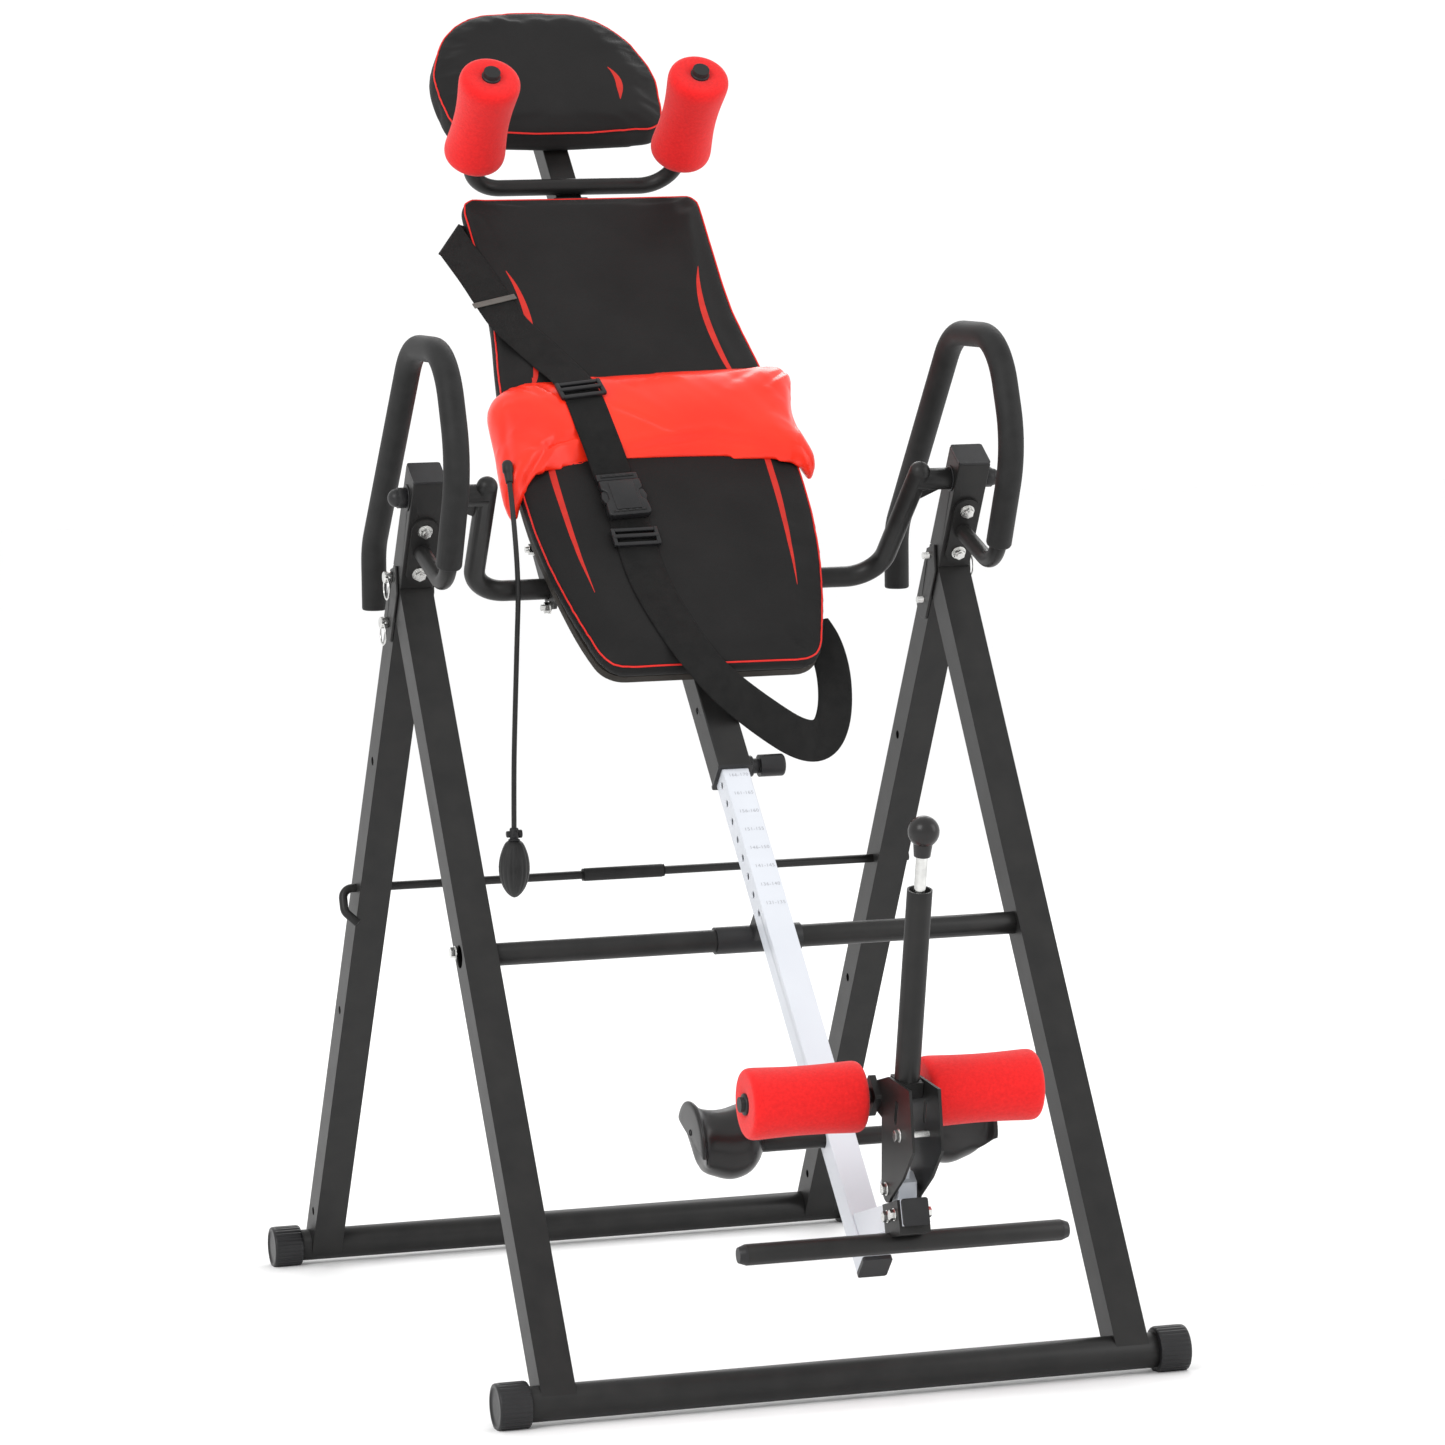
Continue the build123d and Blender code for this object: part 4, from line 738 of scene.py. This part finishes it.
# ---------------------------------------------------------------- strap
STRAP_ROUTE = [
    (-200, 593, -112), (-183, 536, -112), (-175, 507, -112), (-166, 476, -109.5), (-155, 440, -107.5),
    (-144, 401, None), (-134, 362, None), (-113, 328, None), (-95, 298, None), (-84, 262, None),
    (-79, 230, None), (-75, 185, None), (-68, 150, None), (-60, 105, None), (-57, 66, None),
    (-56, 20, None), (-55, -40, None), (-42, -100, None), (-24, -158, -105), (4, -196, -118),
    (54, -219, -150), (98, -232, -176), (128, -226, -184), (147, -196, -178), (155, -150, -164),
    (150, -110, -150), (140, -80, -148),
]
FOLD_AT = Vector((-192, 483))
FOLD_ALONG = Vector((35, 50)).normalized()
FOLD_OUT = Vector((-FOLD_ALONG.y, FOLD_ALONG.x))
FOLD_R = 4.5
BEHIND_BOARD = 33.0


def strap_line(trees):
    """Points of the strap's middle: it lies on whichever skin is highest, and hangs free elsewhere."""
    made = []
    for x, s, t in STRAP_ROUTE:
        if t is None:
            t = skin_height(trees, x, s, 18, 10) + 1.6
        made.append(Vector((x, s, t)))
    return even_line(rounded_line(made), 3.0)


def skin_height(trees, x, s, across=0, along=0):
    """The highest skin over a point of the bed, or over a patch round it."""
    tops = [PAD_FACE]
    for dx in {-across, 0, across}:
        for ds in {-along, 0, along}:
            for skin in trees:
                hit, _, _, _ = skin.ray_cast(bed(x + dx, s + ds, 40), -OUT)
                if hit:
                    tops.append(in_bed(hit).z)
    return max(tops)


def fold_back(point):
    """Folds the flat strap round its crease beside the pad, so that its end runs behind the board."""
    flat = Vector((point.x, point.y))
    beyond = (flat - FOLD_AT).dot(FOLD_OUT)
    if beyond <= 0:
        return point
    crease = flat - FOLD_OUT * beyond
    turn = min(beyond / FOLD_R, math.pi)
    left = max(beyond - math.pi * FOLD_R, 0)
    moved = crease + FOLD_OUT * (FOLD_R * math.sin(turn) - left)
    depth = FOLD_R * (1 - math.cos(turn)) + min(left * 1.25, BEHIND_BOARD)
    return Vector((moved.x, moved.y, point.z - depth))


def strap_frames(line):
    """For each point of the strap: place, direction, sideways and outward, in the part's frame."""
    frames = []
    for i, p in enumerate(line):
        before = line[max(i - 1, 0)]
        after = line[min(i + 1, len(line) - 1)]
        along = (bed(*after) - bed(*before)).normalized()
        loop = min(max((-150 - p.y) / 70, 0), 1) + (1 if p.x > 120 and p.y < 0 else 0)
        facing = OUT + ACROSS * 0.35 * min(loop, 1) - UP * 0.75 * min(loop, 1)
        aside = along.cross(facing).normalized()
        frames.append([bed(*p), along, aside, aside.cross(along).normalized()])
    for _ in range(10):
        sides = [f[2].copy() for f in frames]
        for i in range(1, len(frames) - 1):
            aside = (sides[i - 1] + sides[i] + sides[i + 1]).normalized()
            along = frames[i][1]
            aside = (aside - along * aside.dot(along)).normalized()
            frames[i][2] = aside
            frames[i][3] = aside.cross(along).normalized()
    return frames


def strap(trees):
    """The safety strap: 48 mm webbing that lies on the pad and pillow, folds back at its top, and loops."""
    frames = strap_frames(strap_line(trees))
    columns = 9
    verts = []
    uvs = []
    run = 0.0
    for i, (place, _, aside, facing) in enumerate(frames):
        if i:
            run += (place - frames[i - 1][0]).length
        for j in range(columns):
            share = j / (columns - 1) - 0.5
            ripple = noise.noise(Vector((run * 14, share * 2.5, 1.3))) * 0.8
            curl = -abs(share) ** 2 * 3.0
            at = in_bed(place + aside * share * STRAP_WIDTH * MM + facing * (curl + ripple) * MM)
            if at.y > 430:
                at = fold_back(at)
            elif at.y > -160 and at.z > -125:
                at.z = max(at.z, skin_height(trees, at.x, at.y) + 1.3)
            verts.append(bed(*at))
            uvs.append((share * STRAP_WIDTH * MM * 10, run * 10))
    faces = strip_faces(len(frames), columns)
    piece = new_piece("strap_webbing", verts, faces, WEBBING, "bed")
    layer = piece.data.uv_layers.new(name="UVMap")
    for face in piece.data.polygons:
        for corner in face.loop_indices:
            layer.data[corner].uv = uvs[piece.data.loops[corner].vertex_index]
    thick = piece.modifiers.new("thick", "SOLIDIFY")
    thick.thickness = STRAP_THICK * MM
    thick.offset = 0
    subdivide(piece)
    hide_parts("strap")
    return frames


def nearest_frame(frames, s):
    """The strap's frame where it passes a height of the bed, on the pad's face."""
    front = [f for f in frames if in_bed(f[0]).z > -135]
    return min(front, key=lambda f: abs(in_bed(f[0]).y - s))


def block(name, strap_frame, outline, low, high, finish, round_by):
    """A moulded plate: an outline in strap coordinates (along, across), between two heights in mm."""
    place, along, aside, facing = strap_frame
    shape = bmesh.new()
    ring = [shape.verts.new(place + (along * a + aside * b + facing * low) * MM) for a, b in outline]
    base = shape.faces.new(ring)
    top = bmesh.ops.extrude_face_region(shape, geom=[base])
    moved = [v for v in top["geom"] if isinstance(v, bmesh.types.BMVert)]
    bmesh.ops.translate(shape, verts=moved, vec=facing * (high - low) * MM)
    bmesh.ops.recalc_face_normals(shape, faces=shape.faces)
    data = bpy.data.meshes.new(name)
    shape.to_mesh(data)
    shape.free()
    data.materials.append(finish)
    piece = linked(name, data)
    soften = piece.modifiers.new("soften", "BEVEL")
    soften.width = round_by * MM
    soften.segments = 3
    soften.limit_method = "ANGLE"
    soften.angle_limit = math.radians(35)
    apply_modifiers(piece)
    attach(piece, "bed")
    return piece


def rectangle(a_low, a_high, b_low, b_high):
    """An outline for block(), between two places along the strap and two across it."""
    return [(a_low, b_low), (a_high, b_low), (a_high, b_high), (a_low, b_high)]


def slide(name, strap_frame, length, half):
    """A ladder slide: two side rails and three bars across, the middle one proud of the strap."""
    pieces = []
    end = length / 2
    for side, inner, outer in (("left", -half, 5 - half), ("right", half - 5, half)):
        rail = rectangle(-end, end, inner, outer)
        pieces.append(block(f"{name}_rail_{side}", strap_frame, rail, 0.6, 6.2, PLASTIC, 1.6))
    bars = [("foot", -end + 2.5, 0.8, 5.4), ("bar", 0, 2.4, 7.2), ("head", end - 2.5, 0.8, 5.4)]
    for part, at, low, high in bars:
        across = rectangle(at - 2.5, at + 2.5, 1 - half, half - 1)
        pieces.append(block(f"{name}_{part}", strap_frame, across, low, high, PLASTIC, 1.3))
    return pieces


BUCKLE_SLOTS = [("low", -29, (9.1, 9.7), (9.5, 10.2)), ("high", 26, (11.6, 12.0), (11.9, 12.6))]


def strap_hardware(frames):
    """Tri-glide, side-release buckle with its two halves, end slide and the flat bar on the strap."""
    slide_pieces = slide("strap_slide", nearest_frame(frames, 230), 27, 28)
    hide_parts("strap_hardware")
    buckle = nearest_frame(frames, 79)
    body = [
        (-22, -25), (-9, -25), (-5, -19.5), (7, -19.5), (12, -25), (28, -26), (31, -23), (31, 23),
        (28, 26), (12, 25), (7, 19.5), (-5, 19.5), (-9, 25), (-22, 25),
    ]
    block("buckle_body", buckle, body, 1.0, 11.5, PLASTIC, 2.2)
    block("buckle_crown", buckle, rectangle(-18, 24, -15, 15), 11.0, 12.6, PLASTIC, 1.4)
    for side, name in ((-1, "left"), (1, "right")):
        prong = [(-10, side * 18), (-6, side * 25.5), (3, side * 27.5), (10, side * 25), (13, side * 18)]
        block(f"buckle_prong_{name}", buckle, prong[::side], 3.0, 9.5, PLASTIC, 1.2)
    block("buckle_heel", buckle, rectangle(-34, -23.5, -25, 25), 1.0, 9.0, PLASTIC, 1.8)
    for name, at, slot_heights, tooth_heights in BUCKLE_SLOTS:
        slot = rectangle(at - 1.6, at + 1.6, -20, 20)
        block(f"buckle_slot_{name}", buckle, slot, *slot_heights, GRIP, 0.2)
        for k in range(5):
            tooth = rectangle(at - 1.2, at + 1.2, k * 8 - 18, k * 8 - 14)
            block(f"buckle_tooth_{name}_{k}", buckle, tooth, *tooth_heights, PLASTIC, 0.3)
    slide("buckle_tail", nearest_frame(frames, 20), 26, 28)
    clip = block("strap_bar", nearest_frame(frames, 401), rectangle(-4, 4, -28, 28), 1.4, 2.9, CLIP, 0.5)


# ---------------------------------------------------------------- rollers, cups, knobs
FOAM_RADIUS = 37


def foam_roller(name, node, length, waist, outside, edge=1.0, shift=1.5):
    """A foam roller: bulging ends, a slight waist, a dimple where its bore is, and its black plug."""
    joint = JOINTS[node + "_spin"]
    axis = Vector(joint["axis"]) * outside
    at = Vector(joint["pos_m"])
    origin = at + axis * (middle(node) - at).dot(axis) - axis * shift * MM
    half = length / 2
    radius = FOAM_RADIUS
    rim = [(0.0, 6.5), (0.4, 4.3), (1.4, 2.4), (3.2, 1.0), (6.0, 0.2), (10.0, 0.0)]
    rim = [(along * edge, lower * edge) for along, lower in rim]
    profile = [(-half + 2.0, 9), (-half + 0.6, 12.5), (-half, 17), (-half - 0.2, 0.55 * radius)]
    profile += [(-half + along, radius - lower) for along, lower in rim]
    flat = length - 20 * edge
    for k in range(1, 8):
        share = k / 8
        profile.append((-half + 10 * edge + flat * share, radius - waist * math.sin(math.pi * share)))
    profile += [(half - along, radius - lower) for along, lower in reversed(rim)]
    profile += [(half + 0.2, 0.55 * radius), (half, 17), (half - 0.6, 12.5), (half - 2.0, 9)]
    foam = spun(name, profile, origin, axis, RED_FOAM, node, steps=72)
    subdivide(foam)
    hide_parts(node)
    plug = [(-3, 11.2), (0.6, 11.4), (1.5, 10.9), (2.0, 9.0), (2.2, 4.5), (2.2, 0.01)]
    spun(name + "_plug", plug, origin + axis * half * MM, axis, PLASTIC, node, steps=48)


HEEL_BAR_S = -783.0
HEEL_BAR_T = -164.0
CUP_BELLY = math.radians(39)
CUP_SECTIONS = [
    (86, 10, 8), (87, 20, 14), (92, 33, 21), (100, 45, 30), (110, 43.5, 34), (120, 40, 36),
    (130, 38.5, 34), (140, 39, 30), (150, 41, 27),
]
FLANGE_FACING = math.radians(64)
FLANGE_R = 50.0
FLANGE_CHORD = 10.0
FLANGE_MIDDLE = 28.0
HOLE_REACH = 19
FLANGE_SECTIONS = [(155, 0.35, 0), (158.5, 0.85, 0), (160.5, 1, 0), (163, 1, 0), (164, 1, 1.4)]


def belly_point(angle, towards, away):
    """A point of the cup's round section: its radius is largest towards the belly's side."""
    mean = (towards + away) / 2
    swell = (towards - away) / 2
    radius = mean + swell * math.cos(angle - CUP_BELLY)
    return Vector((radius * math.cos(angle), radius * math.sin(angle)))


def flange_point(angle, inset):
    """A point of the flange's rim: a disc about the heel bar, cut off by a chord beside the bar."""
    turned = angle - FLANGE_FACING
    across, aside = math.cos(turned), math.sin(turned)
    from_middle = FLANGE_MIDDLE * across
    reach = -from_middle + math.sqrt(from_middle**2 + FLANGE_R**2 - FLANGE_MIDDLE**2)
    if across < 0:
        reach = min(reach, (FLANGE_CHORD - FLANGE_MIDDLE) / across)
    reach -= inset
    u, v = FLANGE_MIDDLE + reach * across, reach * aside
    facing = Vector((math.cos(FLANGE_FACING), math.sin(FLANGE_FACING)))
    return facing * u + Vector((-facing.y, facing.x)) * v


def heel_cups():
    """Moulded heel rests: round bellies about the heel bar that flow into a flat outer flange."""
    steps = 72
    angles = [math.tau * k / steps for k in range(steps)]
    for side, name in ((-1, "left"), (1, "right")):
        rings = []
        for x, towards, away in CUP_SECTIONS:
            rings.append((x, [belly_point(angle, towards, away) for angle in angles]))
        _, towards, away = CUP_SECTIONS[-1]
        for x, share, inset in FLANGE_SECTIONS:
            ring = [belly_point(a, towards, away).lerp(flange_point(a, inset), share) for a in angles]
            rings.append((x, ring))
        verts = []
        for x, ring in rings:
            verts += [bed(side * x, HEEL_BAR_S + p.x, HEEL_BAR_T + p.y) for p in ring]
        faces = [tuple(range(steps)), tuple(range(len(verts) - steps, len(verts)))]
        faces += ring_faces(len(rings), steps)
        cup = new_piece(f"heel_cup_{name}", verts, faces, SATIN, "foot_boom")
        outward(cup)
        subdivide(cup)
        up, out = math.cos(FLANGE_FACING) * HOLE_REACH, math.sin(FLANGE_FACING) * HOLE_REACH
        hole = bed(side * 163.6, HEEL_BAR_S + up, HEEL_BAR_T + out)
        rim = [(0, 3.4), (0.8, 3.6), (1.0, 3.2), (0.8, 2.8), (0.1, 2.6), (0.1, 0.01)]
        spun(f"heel_cup_hole_{name}", rim, hole, ACROSS * side, GRIP, "foot_boom", steps=32)
        if side < 0:
            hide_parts("heel_cups")


CAP_RIBS = 30
RIB_DEPTH = 0.9


def end_caps():
    """Ribbed plastic shells over the ends of the floor tubes, with a flat face inside a raised rim."""
    outline = [
        (33.2, 19.3, 0), (33.2, 23.4, 0), (32.2, 24.6, 0.3), (30, 25.3, 1), (4, 25.3, 1), (1.8, 25.0, 0.4),
        (0, 24.9, 0), (-1.4, 24.2, 0), (-1.8, 23.0, 0), (-1.8, 20.8, 0), (-1.2, 20.0, 0), (-0.5, 19.6, 0),
        (-0.4, 12, 0), (-0.4, 0.4, 0),
    ]
    low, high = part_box("rear_base_caps")
    for tube_node, body in (("front_base_tube", "front_frame"), ("rear_base_tube", "rear_frame")):
        centre = middle(tube_node)
        for side, x, name in ((-1, low.x, "left"), (1, high.x, "right")):
            end = Vector((x, centre.y, centre.z))
            cap = fluted(f"{body}_foot_cap_{name}", outline, end, -ACROSS * side, CAP_RIBS, PLASTIC, body)
            for vertex in cap.data.vertices:
                vertex.co.z = max(vertex.co.z, 0.0)


def fluted(name, outline, origin, axis, ribs, finish, body):
    """A turned piece with flutes: outline is a list of (along, radius, share of the flutes' depth)."""
    side = axis.orthogonal().normalized()
    other = axis.cross(side)
    around = ribs * 8
    verts = []
    for k in range(around):
        angle = math.tau * k / around
        groove = (0.5 + 0.5 * math.cos(ribs * angle)) ** 2
        ray = side * math.cos(angle) + other * math.sin(angle)
        verts += [origin + axis * along * MM + ray * (radius - RIB_DEPTH * share * groove) * MM
                  for along, radius, share in outline]
    rows = len(outline)
    faces = [tuple(k * rows for k in range(around)), tuple(k * rows + rows - 1 for k in range(around))]
    faces += turned_faces(around, rows)
    piece = new_piece(name, verts, faces, finish, body)
    outward(piece)
    return piece


# ---------------------------------------------------------------- air hose
HOSE_ROUTE = [
    (-0.180, 0.152, 0.970), (-0.181, 0.140, 0.948), (-0.183, 0.124, 0.918), (-0.185, 0.109, 0.880),
    (-0.187, 0.0995, 0.850), (-0.188, 0.0975, 0.827), (-0.190, 0.099, 0.790), (-0.192, 0.102, 0.742),
    (-0.194, 0.106, 0.690), (-0.196, 0.110, 0.632), (-0.197, 0.112, 0.572),
]
HOSE_R = 0.003
VALVE_LENGTH = 14.0
BULB_LENGTH = 66.0
BULB_RIBS = 16
BULB_OUTLINE = [
    (0, 6.2), (2, 9.5), (6, 12), (12, 14.4), (20, 16.9), (30, 18.1), (40, 17.6), (50, 14.9), (57, 11.4),
    (62, 7.5), (65, 3.6), (66, 0.4),
]
VALVE_BODY = [
    (-0.4, 3.2), (0.2, 4.6), (1.4, 5.2), (3.2, 5.2), (3.6, 5.8), (10.6, 5.8), (11.2, 5.0), (12.6, 5.0),
    (13.0, 6.6), (14.6, 6.8), (14.8, 5.0),
]
VALVE_SCREW = [
    (-9, 0.01), (-9, 3.2), (-8.4, 3.8), (4.2, 3.8), (4.2, 2.6), (4.8, 2.6), (4.8, 4.4), (5.2, 4.8),
    (8.6, 4.8), (9, 4.4), (9, 0.01),
]
HOSE_PORT = [
    (-20, 0.01), (-20, 4.5), (-17, 6.2), (-7, 6.4), (-5.5, 5.2), (4, 4.5), (7, 4.3), (7.4, 3.3), (2, 3.0),
]


def squeeze_bulb(end, down):
    """Rubber bulb with moulded ribs, its valve body across the hose, and the release screw."""
    ribbed = [
        (VALVE_LENGTH + along, radius, math.sin(math.pi * along / BULB_LENGTH))
        for along, radius in BULB_OUTLINE
    ]
    bulb = fluted("squeeze_bulb_rubber", ribbed, end, down, BULB_RIBS, RUBBER, "hose")
    subdivide(bulb)
    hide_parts("squeeze_bulb")
    valve = spun("valve_body", VALVE_BODY, end, down, PLASTIC, "hose", steps=48)
    screw_at = end + down * 7 * MM
    screw = spun("valve_screw", VALVE_SCREW, screw_at, ACROSS, PLASTIC, "hose", steps=48)
    return [bulb, valve, screw]


def hose():
    """The air hose, on one smooth line through its route, from the pillow to the valve."""
    points = [Vector((x, AXLE.y + y, z)) for x, y, z in HOSE_ROUTE]
    data = bpy.data.curves.new("hose_route", "CURVE")
    data.dimensions = "3D"
    data.resolution_u = 12
    spline = data.splines.new("NURBS")
    spline.points.add(len(points) - 1)
    for point, place in zip(spline.points, points):
        point.co = (*place, 1)
    spline.order_u = 3
    spline.use_endpoint_u = True
    curve = linked("hose_route", data)
    line = [v.co.copy() for v in mesh_of(curve).vertices]
    bpy.data.objects.remove(curve)
    piece = tube("air_hose", line, HOSE_R, RUBBER, None, sides=16)
    leaving = (points[1] - points[0]).normalized()
    spun("hose_port", HOSE_PORT, points[0], leaving, RUBBER, "bed", steps=40)
    pieces = squeeze_bulb(points[-1], (points[-1] - points[-2]).normalized())
    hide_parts("hose_upper", "hose_lower")
    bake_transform(piece)


BOOM_LABELS = ["166-170", "161-165", "156-160", "151-155", "146-150", "141-145", "136-140", "121-135"]


def boom_numbers():
    """The height scale printed beside the boom's holes."""
    for k, label in enumerate(BOOM_LABELS):
        data = bpy.data.curves.new(f"scale_{k}", "FONT")
        data.body = label
        data.size = 6.2 * MM
        data.space_character = 1.12
        data.align_x = "CENTER"
        data.align_y = "CENTER"
        text = linked(f"scale_text_{k}", data)
        place = bed(1.5, HOLE_FIRST - HOLE_PITCH * k + 2, BOOM_FACE + 0.15)
        text.matrix_world = Matrix.Translation(place) @ Matrix((ACROSS, UP, OUT)).transposed().to_4x4()
        bpy.context.view_layer.update()
        mesh = mesh_of(text)
        mesh.transform(text.matrix_world)
        bpy.data.objects.remove(text)
        mesh.materials.clear()
        mesh.materials.append(INK)
        piece = linked(f"scale_{k}", mesh)
        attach(piece, "foot_boom")


# ---------------------------------------------------------------- put together
add_camera()
hose()
add_studio()
finish_cad_nodes()
pad = back_pad()
seam("back_pad_piping", pad, pad_loop(), -113.6, PIPING_R, "bed")
stripes(pad)
head = head_pad()
seam("head_pad_piping", head, head_loop(), -113.0, PIPING_R, "head_rest")
head_mark(head)
pillow = lumbar_pillow()
strap_hardware(strap([tree(pad), tree(pillow)]))
foam_roller("ankle_foam_left", "ankle_roller_left", 124, 1.6, -1)
foam_roller("ankle_foam_right", "ankle_roller_right", 124, 1.6, 1)
foam_roller("shoulder_foam_left", "shoulder_roller_left", 134, 4.0, 1, edge=1.5, shift=5.0)
foam_roller("shoulder_foam_right", "shoulder_roller_right", 134, 4.0, 1, edge=1.5, shift=5.0)
heel_cups()
end_caps()
boom_numbers()
